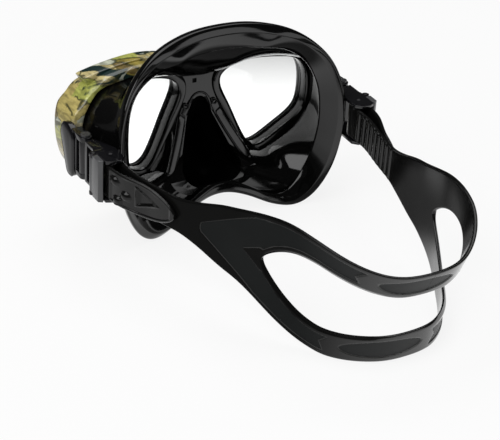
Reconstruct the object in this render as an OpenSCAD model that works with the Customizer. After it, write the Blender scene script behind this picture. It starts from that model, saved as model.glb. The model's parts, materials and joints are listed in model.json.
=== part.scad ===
// Diving mask: two flat lenses in a rigid frame, a one-piece silicone skirt with a nose pocket,
// and a head strap with two bands that is held by two hinged quick-adjust buckles.
// Lengths are in millimetres. X is the wearer's right, Y points forward, Z is up.

/* [Lenses] */
// Width of one lens window
window_w = 52; // [48:1:56]
// Height of one lens window
window_h = 49; // [45:1:53]
// Distance between the two windows over the nose
window_gap = 25; // [23:1:30]
// Thickness of the glass
glass_t = 4; // [3:0.5:5]
// How far the glass reaches under the gasket
glass_margin = 2.5; // [2:0.25:3]

/* [Frame] */
// Width of the frame over a lens
brow_w = 10.5; // [9.5:0.5:13]
// Width of the frame beside a lens
temple_w = 11.5; // [11:0.25:13]
// Width of the frame under a lens
lower_w = 9; // [8.6:0.2:11]
// Depth of the brow behind the lens plane
brow_depth = 10; // [8:0.5:12]
// Depth of the temples behind the lens plane
temple_depth = 14; // [12:0.5:15]

/* [Skirt] */
// Half the width of the face rim
rim_half = 64; // [61:0.5:64.5]
// Height of the rim over the lens middle
rim_top = 49.5; // [46:0.5:54]
// Depth of the two cheek lobes under the lens middle
rim_low = 54.5; // [51:0.5:56]
// Depth of the rim behind the lens plane at the brow
rim_depth = 28.5; // [25:1:33]
// Depth of the rim behind the lens plane at the temples
rim_temple = 46; // [42:1:48]
// Width of the flange that lies on the face
flange_w = 12.5; // [9:0.5:15]
// Thickness of the skirt's wall
skirt_t = 2.2; // [1.8:0.1:2.8]
// Reach of the nose pocket in front of the lens plane
nose_reach = 28; // [24:1:32]

/* [Hinges] */
// Distance of the two hinge pins from the middle, more where the rim or the frame needs it
hinge_x = 74; // [73.5:0.25:76]
// Distance of the hinge pins behind the lens plane
hinge_y = 25.5; // [25:0.5:28]
// Lean of the hinge pins, top to the rear
tilt = 5; // [3:1:7]
// Inward turn of the buckles at rest
yaw = 1; // [0:0.5:2]
// Radius of the hinge pins
pin_r = 1.25; // [1:0.05:1.4]

/* [Buckles] */
// Radius of the roller the strap turns round
roller_r = 2.3; // [2:0.1:2.5]
// Radius of the roller pin
roller_pin_r = 0.9; // [0.7:0.05:1]
// Radius of the lever pin
lever_pin_r = 0.8; // [0.6:0.05:0.9]

/* [Strap] */
// Thickness of the strap
strap_t = 2; // [1.6:0.1:2.2]
// Width of the strap in the buckles
strap_w = 18; // [17:0.5:19.5]
// Width of the strap where it divides
fork_w = 31; // [28:1:34]
// Width of each band behind the head
band_w = 14; // [13:0.5:17]
// Distance between the middles of the two bands
band_spread = 42; // [38:1:46]
// Reach of the strap behind the hinges
strap_reach = 167; // [156:1:174]
// How far the strap lies to one side behind the head
sway = 6; // [0:1:8]
// Length of the loose tails
tail_len = 48; // [44:1:54]
// Pitch of the ribs that the lever grips
rib_pitch = 5; // [4:0.5:6]

/* [Hidden] */
$fn = 48;
// Clearances: running fit of the pins, seats inside the frame, soft parts beside hard ones
run_fit = 0.05;
seat_fit = 0.3;
soft_fit = 0.3;
// Gasket round each lens
gasket_w = 5;
gasket_back = 2.5;
gasket_lip = 1.4;
lip_cover = 1;
lens_fit = 0.05;
// Seat of the retainer in the frame
seat_step = 1.5;
retainer_t = 2.2;
seat_in = gasket_w + seat_fit;
seat_gap = 0.02;
seat_y = glass_t + gasket_lip + seat_gap;
front_lip = 1;
front_y = seat_y + retainer_t + front_lip;
nose_w = 8.6;
// The hinge pins stand clear of the face rim, and their brackets sink into the frame's sides
rim_clear = 9.5;
cap_sunk = 2;
cap_play = 0.5;
window_end = window_gap / 2 + window_w;
pin_x = max(hinge_x, rim_half + rim_clear, window_end + temple_w - cap_sunk - cap_play);
side_w = max(temple_w, pin_x + cap_sunk - window_end);
// Samples along one stretch of an outline
steps = 4;

// Smooth curves and outlines
function ease(a, b, x) = let (t = max(0, min(1, (x - a) / (b - a)))) t * t * (3 - 2 * t);
function mix(a, b, t) = a + (b - a) * t;
function curve(a, b, c, d, t) =
    0.5 * (2 * b + (c - a) * t + (2 * a - 5 * b + 4 * c - d) * t * t + (3 * b - a - 3 * c + d) * t * t * t);
function closed_curve(p, k) = let (n = len(p))
    [for (i = [0:n - 1]) for (j = [0:k - 1])
        curve(p[(i + n - 1) % n], p[i], p[(i + 1) % n], p[(i + 2) % n], j / k)];
function open_curve(p, k) = let (n = len(p))
    [for (i = [1:n - 3]) for (j = [0:(i == n - 3 ? k : k - 1)])
        curve(p[i - 1], p[i], p[i + 1], p[i + 2], j / k)];
function flip_x(p) = [for (q = p) [-q[0], q[1]]];
function reversed(p) = [for (i = [len(p) - 1:-1:0]) p[i]];
function wedge2(a, b) = a[0] * b[1] - a[1] * b[0];

// Outline of the right lens window as shares of its width and height, from the nose over the top
eye_shape = [[0, 0.8], [0.07, 0.94], [0.34, 1], [0.66, 0.97], [0.89, 0.9], [0.995, 0.72], [0.995, 0.44],
    [0.92, 0.275], [0.68, 0.12], [0.47, 0.01], [0.356, 0.03], [0.26, 0.17], [0.12, 0.5]];
eye_base = 0.6;
eye_pts = [for (p = eye_shape) [window_gap / 2 + p[0] * window_w, (p[1] - eye_base) * window_h]];
eye = closed_curve(eye_pts, steps);
eye_n = [for (i = [0:len(eye) - 1])
    let (a = eye[(i + len(eye) - 1) % len(eye)], b = eye[(i + 1) % len(eye)], t = (b - a) / norm(b - a))
    [-t[1], t[0]]];
function eye_out(off) = [for (i = [0:len(eye) - 1]) eye[i] + off * eye_n[i]];

// Width and depth of the frame round a window
function at_side(i) = ease(0.2, 0.9, eye_n[i][0]);
function at_brow(i) = ease(0.3, 0.9, eye_n[i][1]);
function at_nose(i) = ease(0.2, 0.5, -eye_n[i][0]);
function frame_out(i) = mix(lower_w + (brow_w - lower_w) * at_brow(i) + (side_w - lower_w) * at_side(i),
    nose_w, at_nose(i));
nose_back = 1.2;
function frame_back(i) = mix(-brow_depth - (temple_depth - brow_depth) * at_side(i), nose_back, at_nose(i));

// Rim of the skirt as shares of its half width and heights, right half from the top
rim_shape = [[0, 1], [0.33, 0.97], [0.63, 0.85], [0.85, 0.62], [0.965, 0.33], [1, 0], [0.985, -0.3],
    [0.92, -0.62], [0.8, -0.88], [0.65, -1], [0.47, -0.97], [0.27, -0.85], [0.12, -0.78], [0, -0.76]];
rim_half_pts = [for (p = rim_shape) [p[0] * rim_half, p[1] * (p[1] > 0 ? rim_top : rim_low)]];
rim_left_pts = reversed(flip_x([for (i = [1:len(rim_shape) - 2]) rim_half_pts[i]]));
rim = closed_curve(concat(rim_half_pts, rim_left_pts), steps);

// Front of the skirt: both gaskets in one outline
front_first = 4;
front_last = 38;
front_inset = 0.3;
front_rise = 2.75;
front_half = concat([[0, eye[front_first][1] + front_rise]],
    [for (i = [front_first:front_last]) eye[i] + (gasket_w - front_inset) * eye_n[i]],
    [[0, -window_h * 0.27]]);
front = concat(front_half, reversed(flip_x([for (i = [1:len(front_half) - 2]) front_half[i]])));

// Rays from the middle of the skirt meet both outlines
skirt_mid = [0, -3];
ray_step = 5;
rays = [for (a = [0:ray_step:360 - ray_step]) a];
function ray_reach(poly, a) = let (d = [cos(a), sin(a)], n = len(poly))
    max([for (i = [0:n - 1])
        let (p = poly[i] - skirt_mid, e = poly[(i + 1) % n] - poly[i], q = wedge2(d, e),
            t = abs(q) < 1e-9 ? 0 : wedge2(p, e) / q, s = abs(q) < 1e-9 ? -1 : wedge2(p, d) / q)
        (s >= 0 && s <= 1) ? t : 0]);
front_r = [for (a = rays) ray_reach(front, a)];
rim_r = [for (a = rays) ray_reach(rim, a)];
function on_ray(j, r, y) =
    [skirt_mid[0] + r * cos(rays[j]), y, skirt_mid[1] + r * sin(rays[j])];
// The cheek lobes stand on the ground
rim_swell = 0.3;
ground = min([for (j = [0:len(rays) - 1]) on_ray(j, rim_r[j] + rim_swell, 0)[2]]);
function rim_y(j) = let (x = rim_r[j] * cos(rays[j]) / rim_half) -mix(rim_depth, rim_temple, x * x);
function wall_y(j) = let (c = cos(rays[j])) -mix(brow_depth, temple_depth, c * c) - 0.5;
function flange_at(j) = flange_w - 0.45 * flange_w * ease(0.6, 1, -sin(rays[j]));

// One section of the skirt's wall and flange on ray j, from the gasket out to the face and back inside
rim_round = 1.6;
rim_wall = 6;
rim_inner = 3.2;
wall_join = 0.8;
wall_share = 0.5;
wall_sag = 0.42;
wall_in = 0.7;
wall_fold = 0.4;
lip_t = 0.8;
lip_mid = 0.55;
lip_sink = 0.8;
lip_rise = 2.2;
lip_taper = 0.2;
function wall_ring(j) = let (f = front_r[j], r = rim_r[j], yr = rim_y(j), yw = wall_y(j), w = flange_at(j),
        m = mix(f, r, wall_share), ym = mix(yw, yr, wall_sag)) [
    on_ray(j, f, -gasket_back + wall_join),
    on_ray(j, f, yw),
    on_ray(j, m, ym),
    on_ray(j, r + rim_swell, yr + rim_wall),
    on_ray(j, r, yr + rim_round),
    on_ray(j, r - rim_round, yr),
    on_ray(j, r - lip_mid * w, yr - lip_sink),
    on_ray(j, r - w, yr + lip_rise),
    on_ray(j, r - w + lip_taper, yr + lip_rise + lip_t),
    on_ray(j, r - lip_mid * w, yr - lip_sink + 2 * lip_t),
    on_ray(j, r - rim_round - 1, yr + rim_inner),
    on_ray(j, m - wall_in * skirt_t, ym - wall_in * skirt_t),
    on_ray(j, f - skirt_t, yw - wall_fold * skirt_t),
    on_ray(j, f - skirt_t, -gasket_back - skirt_t + wall_join)];

// Closed band of sections, each section a closed loop
module ring_of(sections) {
    n = len(sections);
    m = len(sections[0]);
    polyhedron(points = [for (s = sections) for (p = s) p],
        faces = [for (i = [0:n - 1]) for (k = [0:m - 1])
            let (k2 = (k + 1) % m, p = i * m, q = (i + 1) % n * m,
                a = p + k, b = p + k2, c = q + k2, d = q + k)
            each [[a, b, c], [a, c, d]]]);
}

// A flat outline given a depth from y = a to y = b
module plate_y(a, b) {
    translate([0, b, 0]) rotate([90, 0, 0]) linear_extrude(b - a) children();
}

module both_sides() {
    children();
    mirror([1, 0, 0]) children();
}

module side(s) {
    if (s > 0) children();
    else mirror([1, 0, 0]) children();
}

// Frames of reference at the right hinge: the pin's own frame, and the buckle turned inwards on it
hinge_z = -5;
module at_hinge() {
    translate([pin_x, -hinge_y, hinge_z]) rotate([tilt, 0, 0]) children();
}

module at_buckle() {
    at_hinge() rotate([0, 0, -yaw]) children();
}

// A flat outline in the buckle's (rearward, outward) plane given a height from v = a to v = b
module plate_v(a, b) {
    translate([0, 0, a]) linear_extrude(b - a) rotate([0, 0, -90]) children();
}

// Hinge and buckle sizes
barrel_r = 3.1;
lug_r = 3.2;
barrel_half = strap_w / 2 - 0.3;
lug_gap = 0.2;
lug_t = 2.5;
lug_in = barrel_half + lug_gap;
lug_out = lug_in + lug_t;
plate_in = strap_w / 2 + 0.6;
plate_t = 1.6;
plate_out = plate_in + plate_t;
pin_over = 0.1;
press_fit = 0.02;
roller_u = 21;
roller_n = -3;
turn_r = roller_r + soft_fit + strap_t / 2;
rib_h = 0.6;
tail_top = roller_n + turn_r + strap_t / 2 + rib_h;
lever_n = tail_top + 0.5;
lever_t = 2.8;
lever_top = lever_n + lever_t;
lever_pin_lead = 4.3;
lever_pin_u = roller_u - lever_pin_lead;
lever_pin_n = lever_n + 1.3;
lever_knuckle_r = 1.7;
lever_step = 2.3;
lever_reach = 5.5;
lever_front = lever_pin_u + lever_step;
lever_rear = roller_u + lever_reach;

// Bracket plate on the frame's side, an upright drop shape
cap_in = 0.6;
cap_out = 3.4;
cap_top = [14, 5, 7.5];
cap_low = [11, -11, 4.5];
module cap_outline(grow) {
    hull() {
        translate([cap_top[0], cap_top[1]]) circle(cap_top[2] + grow);
        translate([cap_low[0], cap_low[1]]) circle(cap_low[2] + grow);
    }
}

module cap_plate(a, b, grow) {
    at_hinge() translate([a, 0, 0]) rotate([90, 0, 90]) linear_extrude(b - a) cap_outline(grow);
}

module frame() {
    color([0.5, 0.46, 0.3])
    placed() difference() {
        union() {
            both_sides() ring_of([for (i = [len(eye) - 1:-1:0]) frame_section(i)]);
            difference() {
                bridge();
                both_sides() plate_y(0, front_y) polygon(eye_out(seat_in + seat_step));
            }
        }
        both_sides() cap_plate(cap_in - run_fit, cap_out + cap_sunk, run_fit);
        both_sides() spine_block(soft_fit);
    }
}

// One section of the frame round a window, as width outwards and depth forwards
edge_r = 0.8;
crown_r = 3;
back_r = 2.5;
back_in = 1.2;
function frame_section(i) = let (o = frame_out(i), yb = frame_back(i), g = seat_in + seat_step, a = o - g)
    [for (q = [[seat_in, yb], [seat_in, seat_y], [g, seat_y], [g, front_y - edge_r], [g + 0.4 * a, front_y],
        [g + 0.8 * a, front_y - edge_r], [o, front_y - crown_r], [o, yb + back_r], [o - back_in, yb]])
        let (p = eye[i] + q[0] * eye_n[i]) [p[0], q[1], p[1]]];

// Bar over the nose that joins the two halves of the frame
bridge_low = 7;
bridge_high = 24;
bridge_half = 6.5;
bridge_r = 2;
module bridge() {
    hull() {
        for (x = [-bridge_half, bridge_half])
            for (z = [bridge_low + bridge_r, bridge_high - bridge_r])
                translate([x, nose_back, z]) rotate([-90, 0, 0])
                    cylinder(h = front_y - nose_back - front_lip, r = bridge_r);
    }
}

module skirt() {
    color([0.06, 0.06, 0.07])
    placed() union() {
        skirt_shell();
        both_sides() nose_ridge();
    }
}

module skirt_shell() {
    difference() {
        union() {
            ring_of([for (j = [0:len(rays) - 1]) wall_ring(j)]);
            front_web();
            both_sides() plate_y(-gasket_back, glass_t + gasket_lip) polygon(eye_out(gasket_w));
            nose_shell(skirt_t);
        }
        nose_form(0);
        both_sides() {
            plate_y(-2 * gasket_back - skirt_t, front_y) polygon(eye);
            plate_y(-lens_fit, glass_t + lens_fit) polygon(eye_out(glass_margin + lens_fit));
            plate_y(glass_t, front_y) polygon(eye_out(lip_cover));
        }
    }
}

// Web between the wall and the two gaskets
module front_web() {
    plate_y(-gasket_back - skirt_t, -gasket_back + 0.2)
        polygon([for (j = [0:len(rays) - 1]) let (p = on_ray(j, front_r[j] - 0.2, 0)) [p[0], p[2]]]);
}

// The nose pocket as balls from the bridge to the tip and the nostrils, and back to the lip
nose_tip_r = 9;
nose_tip_z = -32;
nostril_r = 8.5;
nostril_x = 9;
nostril_back = 19;
nostril_z = ground + nostril_r + skirt_t;
lip_r = 9.5;
nose_balls = [[0, -2, -3, 5.2], [0, nose_reach - nose_tip_r - skirt_t, nose_tip_z, nose_tip_r],
    [nostril_x, nose_reach - nostril_back, nostril_z, nostril_r], [14, -20, -29.5, lip_r]];
module nose_form(grow) {
    hull() both_sides() for (b = nose_balls) translate([b[0], b[1], b[2]]) sphere(r = b[3] + grow, $fn = 32);
}

// Only the part of the pocket in front of the slanting wall is kept
nose_slant = 23.6;
nose_top = 4;
module nose_shell(grow) {
    intersection() {
        nose_form(grow);
        translate([0, -gasket_back - skirt_t, nose_top]) rotate([-nose_slant, 0, 0])
            translate([-rim_half, 0, -2 * rim_low]) cube([2 * rim_half, 2 * rim_low, 3 * rim_low]);
    }
}

// Rolled ridges where the pocket's mouth meets the wall, from the bridge down to the lip
ridge_r = 1.7;
ridge_path = [[7.5, 2], [11.5, -8], [16, -18], [20, -26], [23.5, -33]];
module ridge_ball(p) {
    translate([p[0], -gasket_back - skirt_t - (nose_top - p[1]) * tan(nose_slant), p[1]])
        sphere(r = ridge_r, $fn = 12);
}

module nose_ridge() {
    for (i = [0:len(ridge_path) - 2]) hull() {
        ridge_ball(ridge_path[i]);
        ridge_ball(ridge_path[i + 1]);
    }
}

module lens(s) {
    color([0.8, 0.9, 0.95, 0.4])
    placed() side(s) plate_y(0, glass_t) polygon(eye_out(glass_margin));
}

module lens_retainer(s) {
    color([0.1, 0.1, 0.11])
    placed() side(s) plate_y(seat_y + run_fit, seat_y + run_fit + retainer_t)
        difference() {
            polygon(eye_out(seat_in + seat_step - 0.1));
            polygon(eye_out(lip_cover - 0.2));
        }
}

// Block that carries the lugs behind the frame's rear edge
spine_front = 9.8;
spine_rear = 4.3;
module spine_block(grow) {
    at_hinge() translate([-2.4 - grow, spine_rear - grow, -lug_out - grow])
        cube([cap_out + 2.4 + grow - 0.4, spine_front - spine_rear + 2 * grow, 2 * lug_out + 2 * grow]);
}

module hinge_bracket(s) {
    color([0.05, 0.05, 0.06])
    placed() side(s) difference() {
        union() {
            cap_plate(cap_in, cap_out, 0);
            spine_block(0);
            at_hinge() for (v = [lug_in, -lug_out]) translate([0, 0, v]) {
                cylinder(h = lug_t, r = lug_r);
                translate([-lug_r + 0.8, 0, 0]) cube([2 * lug_r - 0.8, spine_rear + 1, lug_t]);
            }
        }
        at_hinge() cylinder(h = 4 * lug_out, r = pin_r + run_fit, center = true);
    }
}

pin_head_r = 2.4;
pin_head_t = 1.1;
module hinge_pin(s) {
    color([0.5, 0.51, 0.53])
    placed() side(s) at_hinge() {
        translate([0, 0, -lug_out - 0.4]) cylinder(h = 2 * lug_out + 0.5, r = pin_r);
        translate([0, 0, lug_out + press_fit]) cylinder(h = pin_head_t, r = pin_head_r);
    }
}

yoke_u = 4.3;
yoke_t = 2.2;
module buckle_body(s) {
    color([0.05, 0.05, 0.06])
    placed() side(s) at_buckle() difference() {
        union() {
            cylinder(h = 2 * barrel_half, r = barrel_r, center = true);
            translate([-1.8, -yoke_u - 0.2, -barrel_half]) cube([3.6, yoke_u - 1.3, 2 * barrel_half]);
            translate([-2.4, -yoke_u - yoke_t, -plate_out]) cube([4.8, yoke_t, 2 * plate_out]);
            plate_v(plate_in, plate_out) side_outline();
            plate_v(-plate_out, -plate_in) side_outline();
        }
        cylinder(h = 4 * plate_out, r = pin_r + run_fit, center = true);
        translate([roller_n, -roller_u, 0])
            cylinder(h = 4 * plate_out, r = roller_pin_r + press_fit, center = true);
        translate([lever_pin_n, -lever_pin_u, 0])
            cylinder(h = 4 * plate_out, r = lever_pin_r + press_fit, center = true);
    }
}

// Side plate with the ear for the lever pin
ear_r = 1.9;
ear_lead = 4;
neck = 2.4;
cheek_in = 5;
cheek_rear = 7.5;
cheek_corner = 2.7;
lever_gap = 0.3;
module side_outline() {
    polygon([[yoke_u, -neck], [roller_u - cheek_in, roller_n - cheek_in],
        [roller_u + cheek_rear - cheek_corner, roller_n - cheek_in],
        [roller_u + cheek_rear, roller_n - cheek_in + cheek_corner], [roller_u + cheek_rear, roller_n + neck],
        [roller_u + cheek_rear - cheek_corner / 2, lever_n - lever_gap],
        [lever_front - lever_gap, lever_n - lever_gap], [lever_pin_u + ear_r, lever_pin_n],
        [lever_pin_u - ear_lead, neck], [yoke_u, neck]]);
    translate([lever_pin_u, lever_pin_n]) circle(ear_r);
}

module roller(s) {
    color([0.12, 0.12, 0.13])
    placed() side(s) at_buckle() translate([roller_n, -roller_u, 0]) difference() {
        cylinder(h = 2 * plate_in - 0.6, r = roller_r, center = true);
        cylinder(h = 4 * plate_in, r = roller_pin_r + run_fit, center = true);
    }
}

module roller_pin(s) {
    color([0.5, 0.51, 0.53])
    placed() side(s) at_buckle() translate([roller_n, -roller_u, 0])
        cylinder(h = 2 * (plate_out + pin_over), r = roller_pin_r, center = true);
}

module release_lever(s) {
    color([0.09, 0.09, 0.1])
    placed() side(s) at_buckle() difference() {
        union() {
            plate_v(-plate_out, plate_out) polygon([[lever_front, lever_n], [lever_rear - 0.9, lever_n],
                [lever_rear, lever_n + 0.8], [lever_rear - 1.3, lever_top], [lever_front, lever_top]]);
            plate_v(lug_gap - plate_in, plate_in - lug_gap) polygon([[lever_pin_u, lever_n],
                [lever_front + 0.5, lever_n], [lever_front + 0.5, lever_top], [lever_pin_u, lever_top]]);
            translate([lever_pin_n, -lever_pin_u, 0])
                cylinder(h = 2 * (plate_in - lug_gap), r = lever_knuckle_r, center = true);
        }
        translate([lever_pin_n, -lever_pin_u, 0])
            cylinder(h = 4 * plate_out, r = lever_pin_r + run_fit, center = true);
    }
}

module lever_pin(s) {
    color([0.5, 0.51, 0.53])
    placed() side(s) at_buckle() translate([lever_pin_n, -lever_pin_u, 0])
        cylinder(h = 2 * (plate_out + pin_over), r = lever_pin_r, center = true);
}

// The strap's middle line in the hinge plane: [outwards, forwards] from the right hinge
function turned(p) = [p[0] * cos(yaw) + p[1] * sin(yaw), -p[0] * sin(yaw) + p[1] * cos(yaw)];
roller_at = turned([roller_n, -roller_u]);
run_start = roller_at + turned([-turn_r, 0]);
run_lead = 16;
run_next = run_start + turned([0, -run_lead]);
run_shape = [[0.16, 0.34], [0.24, 0.47], [0.32, 0.61], [0.41, 0.75], [0.57, 0.895], [0.78, 0.98], [1, 1],
    [1.22, 0.98]];
run = open_curve(concat([run_start + turned([0, run_lead]), run_start, run_next],
    [for (p = run_shape) [-p[0] * pin_x, -p[1] * strap_reach]]), 8);
function leg(i) = i + 1 < len(run) ? norm(run[i + 1] - run[i]) : 0;
run_s = [for (i = 0, s = 0; i < len(run); s = s + leg(i), i = i + 1) s];
run_len = run_s[len(run) - 1];
function run_index(s) = let (k = [for (i = [0:len(run) - 2]) if (run_s[i] <= s) i]) k[len(k) - 1];
function run_at(s) = let (i = run_index(s)) mix(run[i], run[i + 1], (s - run_s[i]) / leg(i));
run_last = run_len - 0.001;
function run_dir(s) = let (d = run_at(min(run_last, s + 1)) - run_at(max(0, s - 1))) d / norm(d);
function right_of(d) = [d[1], -d[0]];

// Stations from the tail's tip round the roller to the middle of the back
rib_first = 7;
rib_count = 9;
rib_w = 2.6;
tail_clear = 0.5;
tail_gap = strap_t + tail_clear;
tail_near = 4;
tail_far = 34;
turn_steps = 8;
tail_stations = [for (k = [8:-1:1]) tail_len * k / 8];
rib_slope = 0.5;
rib_stations = [for (k = [0:rib_count - 1]) for (q = [0, rib_slope, rib_w - rib_slope, rib_w])
    rib_first + k * rib_pitch + q];
rib_end = rib_first + rib_count * rib_pitch;
back_steps = 30;
back_stations = [for (k = [0:back_steps]) mix(rib_end, run_last, k / back_steps)];
function tail_off(s) = mix(2 * turn_r, tail_gap, ease(tail_near, tail_far, s));
function rib_up(s) = let (q = (s - rib_first) % rib_pitch)
    (s < rib_first || s >= rib_end) ? 0 : (q > rib_slope / 2 && q < rib_w - rib_slope / 2 ? rib_h : 0);

// Half width of the strap and of the slot between its bands, by the share of the run. The bands bow apart
// behind the fork and come closer again at the back.
band_lean = 20;
band_bow = 3.7;
fork_at = 0.45;
fork_full = 0.78;
slot_at = 0.56;
slot_ramp = 0.2;
slot_round = 0.7;
widen_at = rib_end / run_len - 0.04;
function bow(q) = band_bow * ease(0.42, 0.7, q) * (1 - ease(0.74, 0.95, q));
function half_out(s) = let (q = s / run_len)
    bow(q) + mix(mix(strap_w / 2, fork_w / 2, ease(widen_at, fork_at, q)), band_spread / 2 + band_w / 2,
        ease(fork_at - 0.1, fork_full, q));
function half_in(s) = let (q = s / run_len) q < slot_at ? 0
    : (band_spread / 2 - band_w / 2 + bow(q)) * pow(sin(90 * min(1, (q - slot_at) / slot_ramp)), slot_round);
function lean(s) = band_lean * ease(0.45, 1, s / run_len);
function tail_half(s) = let (q = max(0, 2 * s / tail_len - 1)) strap_w / 2 * sqrt(max(0.02, 1 - q * q));

// Each station: [place, direction, half width, half slot, rib, lean, share of the run]
stations = concat(
    [for (s = tail_stations) let (d = run_dir(s))
        [run_at(s) - right_of(d) * tail_off(s), -d, tail_half(s), 0, 0, 0, s / run_len]],
    [for (k = [0:turn_steps]) let (a = 180 * k / turn_steps)
        [roller_at + turn_r * turned([cos(a), sin(a)]), turned([-sin(a), cos(a)]), strap_w / 2, 0, 0, 0, 0]],
    [for (s = rib_stations)
        [run_at(s), run_dir(s), half_out(s), half_in(s), rib_up(s), lean(s), s / run_len]],
    [for (s = back_stations) [run_at(s), run_dir(s), half_out(s), half_in(s), 0, lean(s), s / run_len]]);

// A point of the strap: off is towards the head side, w up the strap's width
function from_hinge(p) = [pin_x + p[0], -hinge_y + p[1] * cos(tilt) - p[2] * sin(tilt),
    hinge_z + p[1] * sin(tilt) + p[2] * cos(tilt)];
function strap_point(q, off, w) = let (r = right_of(q[1]), p = q[0] + r * (off - w * sin(q[5])))
    from_hinge([p[0], p[1], w * cos(q[5])]);
function strap_section(q) = [for (g = [1, -1]) for (c = [[-1, 3], [-1, 2], [1, 2], [1, 3]])
    strap_point(q, c[0] * strap_t / 2 + (c[0] > 0 ? q[4] : 0), g * q[c[1]])];
plain_sections = [for (q = stations) strap_section(q)];
// The bands sag until the lower one lies on the ground
sag_least = 0.3;
function sag(i) = ease(0.45, 0.95, stations[i][6]);
droop = min([for (i = [0:len(stations) - 1])
    if (sag(i) > sag_least) (min([for (p = plain_sections[i]) p[2]]) - ground) / sag(i)]);
function swayed(s, m) = [for (i = [0:len(s) - 1])
    let (k = sway * ease(0.15, 0.6, stations[i][6]), d = droop * sag(i))
    [for (p = s[i]) [m * p[0] + k, p[1], p[2] - d]]];
left_sections = swayed(plain_sections, -1);
strap_sections = concat(swayed(plain_sections, 1), [for (i = [len(stations) - 2:-1:0]) left_sections[i]]);
strap_points = [for (s = strap_sections) for (p = s) p];
strap_count = len(strap_sections);
slot_open = [for (i = [0:strap_count - 1])
    let (k = i < len(stations) ? i : strap_count - 1 - i) stations[k][3] > 0];

// Faces between two stations for the upper (g = 0) and lower (g = 4) half of the width
function half_faces(i, g) = let (a = 8 * i + g, b = a + 8) concat(
    [for (k = [0:2]) [a + k, a + k + 1, b + k + 1, b + k]],
    (slot_open[i] || slot_open[i + 1]) ? [[a + 3, a, b, b + 3]] : []);
function turned_faces(f, g) = g == 0 ? [for (q = f) reversed(q)] : f;
function thirds(f) = [for (q = f) each [[q[0], q[1], q[2]], [q[0], q[2], q[3]]]];
strap_faces = thirds(concat(
    [for (i = [0:strap_count - 2]) for (g = [0, 4]) each turned_faces(half_faces(i, g), g)],
    turned_faces([[3, 2, 1, 0]], 0), turned_faces([[7, 6, 5, 4]], 4),
    let (e = 8 * (strap_count - 1)) concat(turned_faces([[e, e + 1, e + 2, e + 3]], 0),
        turned_faces([[e + 4, e + 5, e + 6, e + 7]], 4))));

module strap() {
    color([0.16, 0.16, 0.17])
    placed() polyhedron(points = strap_points, faces = strap_faces);
}

// The whole part stands with its lowest point at z = 0 and its length centred on y = 0
y_rear = min([for (p = strap_points) p[1]]);
z_low = min(min([for (p = strap_points) p[2]]), ground);
module placed() {
    translate([0, -(nose_reach + y_rear) / 2, -z_low]) children();
}

module left_lens() {
    lens(-1);
}

module right_lens() {
    lens(1);
}

module left_lens_retainer() {
    lens_retainer(-1);
}

module right_lens_retainer() {
    lens_retainer(1);
}

module left_hinge_bracket() {
    hinge_bracket(-1);
}

module right_hinge_bracket() {
    hinge_bracket(1);
}

module left_hinge_pin() {
    hinge_pin(-1);
}

module right_hinge_pin() {
    hinge_pin(1);
}

module left_buckle_body() {
    buckle_body(-1);
}

module right_buckle_body() {
    buckle_body(1);
}

module left_roller() {
    roller(-1);
}

module right_roller() {
    roller(1);
}

module left_roller_pin() {
    roller_pin(-1);
}

module right_roller_pin() {
    roller_pin(1);
}

module left_release_lever() {
    release_lever(-1);
}

module right_release_lever() {
    release_lever(1);
}

module left_lever_pin() {
    lever_pin(-1);
}

module right_lever_pin() {
    lever_pin(1);
}

frame();
skirt();
left_lens();
right_lens();
left_lens_retainer();
right_lens_retainer();
left_hinge_bracket();
right_hinge_bracket();
left_hinge_pin();
right_hinge_pin();
left_buckle_body();
right_buckle_body();
left_roller();
right_roller();
left_roller_pin();
right_roller_pin();
left_release_lever();
right_release_lever();
left_lever_pin();
right_lever_pin();
strap();
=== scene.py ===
"""Diving mask: camo frame, black silicone skirt and split head strap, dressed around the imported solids."""
import itertools
import json
from math import cos, pi, radians, sin, tan

import bpy
import numpy as np
from mathutils import Matrix, Vector, kdtree

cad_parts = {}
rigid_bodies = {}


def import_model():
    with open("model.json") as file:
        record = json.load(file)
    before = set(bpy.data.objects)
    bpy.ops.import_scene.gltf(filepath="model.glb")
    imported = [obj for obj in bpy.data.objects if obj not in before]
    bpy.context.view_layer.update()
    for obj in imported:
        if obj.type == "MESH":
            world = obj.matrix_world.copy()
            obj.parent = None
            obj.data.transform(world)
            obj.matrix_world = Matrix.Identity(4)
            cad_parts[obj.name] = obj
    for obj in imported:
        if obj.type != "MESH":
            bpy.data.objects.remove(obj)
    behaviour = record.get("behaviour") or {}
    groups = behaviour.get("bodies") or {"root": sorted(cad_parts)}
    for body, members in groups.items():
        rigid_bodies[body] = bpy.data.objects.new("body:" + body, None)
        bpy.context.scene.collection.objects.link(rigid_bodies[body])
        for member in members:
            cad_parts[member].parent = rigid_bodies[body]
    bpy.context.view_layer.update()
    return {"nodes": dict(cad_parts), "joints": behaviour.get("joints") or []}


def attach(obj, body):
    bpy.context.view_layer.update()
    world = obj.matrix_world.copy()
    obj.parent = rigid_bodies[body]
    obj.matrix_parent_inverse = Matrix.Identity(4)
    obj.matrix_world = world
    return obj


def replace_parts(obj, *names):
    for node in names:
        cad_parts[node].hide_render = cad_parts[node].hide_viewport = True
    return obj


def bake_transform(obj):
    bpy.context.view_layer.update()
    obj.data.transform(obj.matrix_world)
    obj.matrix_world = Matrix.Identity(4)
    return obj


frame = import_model()
bpy.ops.object.select_all(action="DESELECT")
scene = bpy.context.scene
scene.view_settings.view_transform = "Standard"

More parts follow.
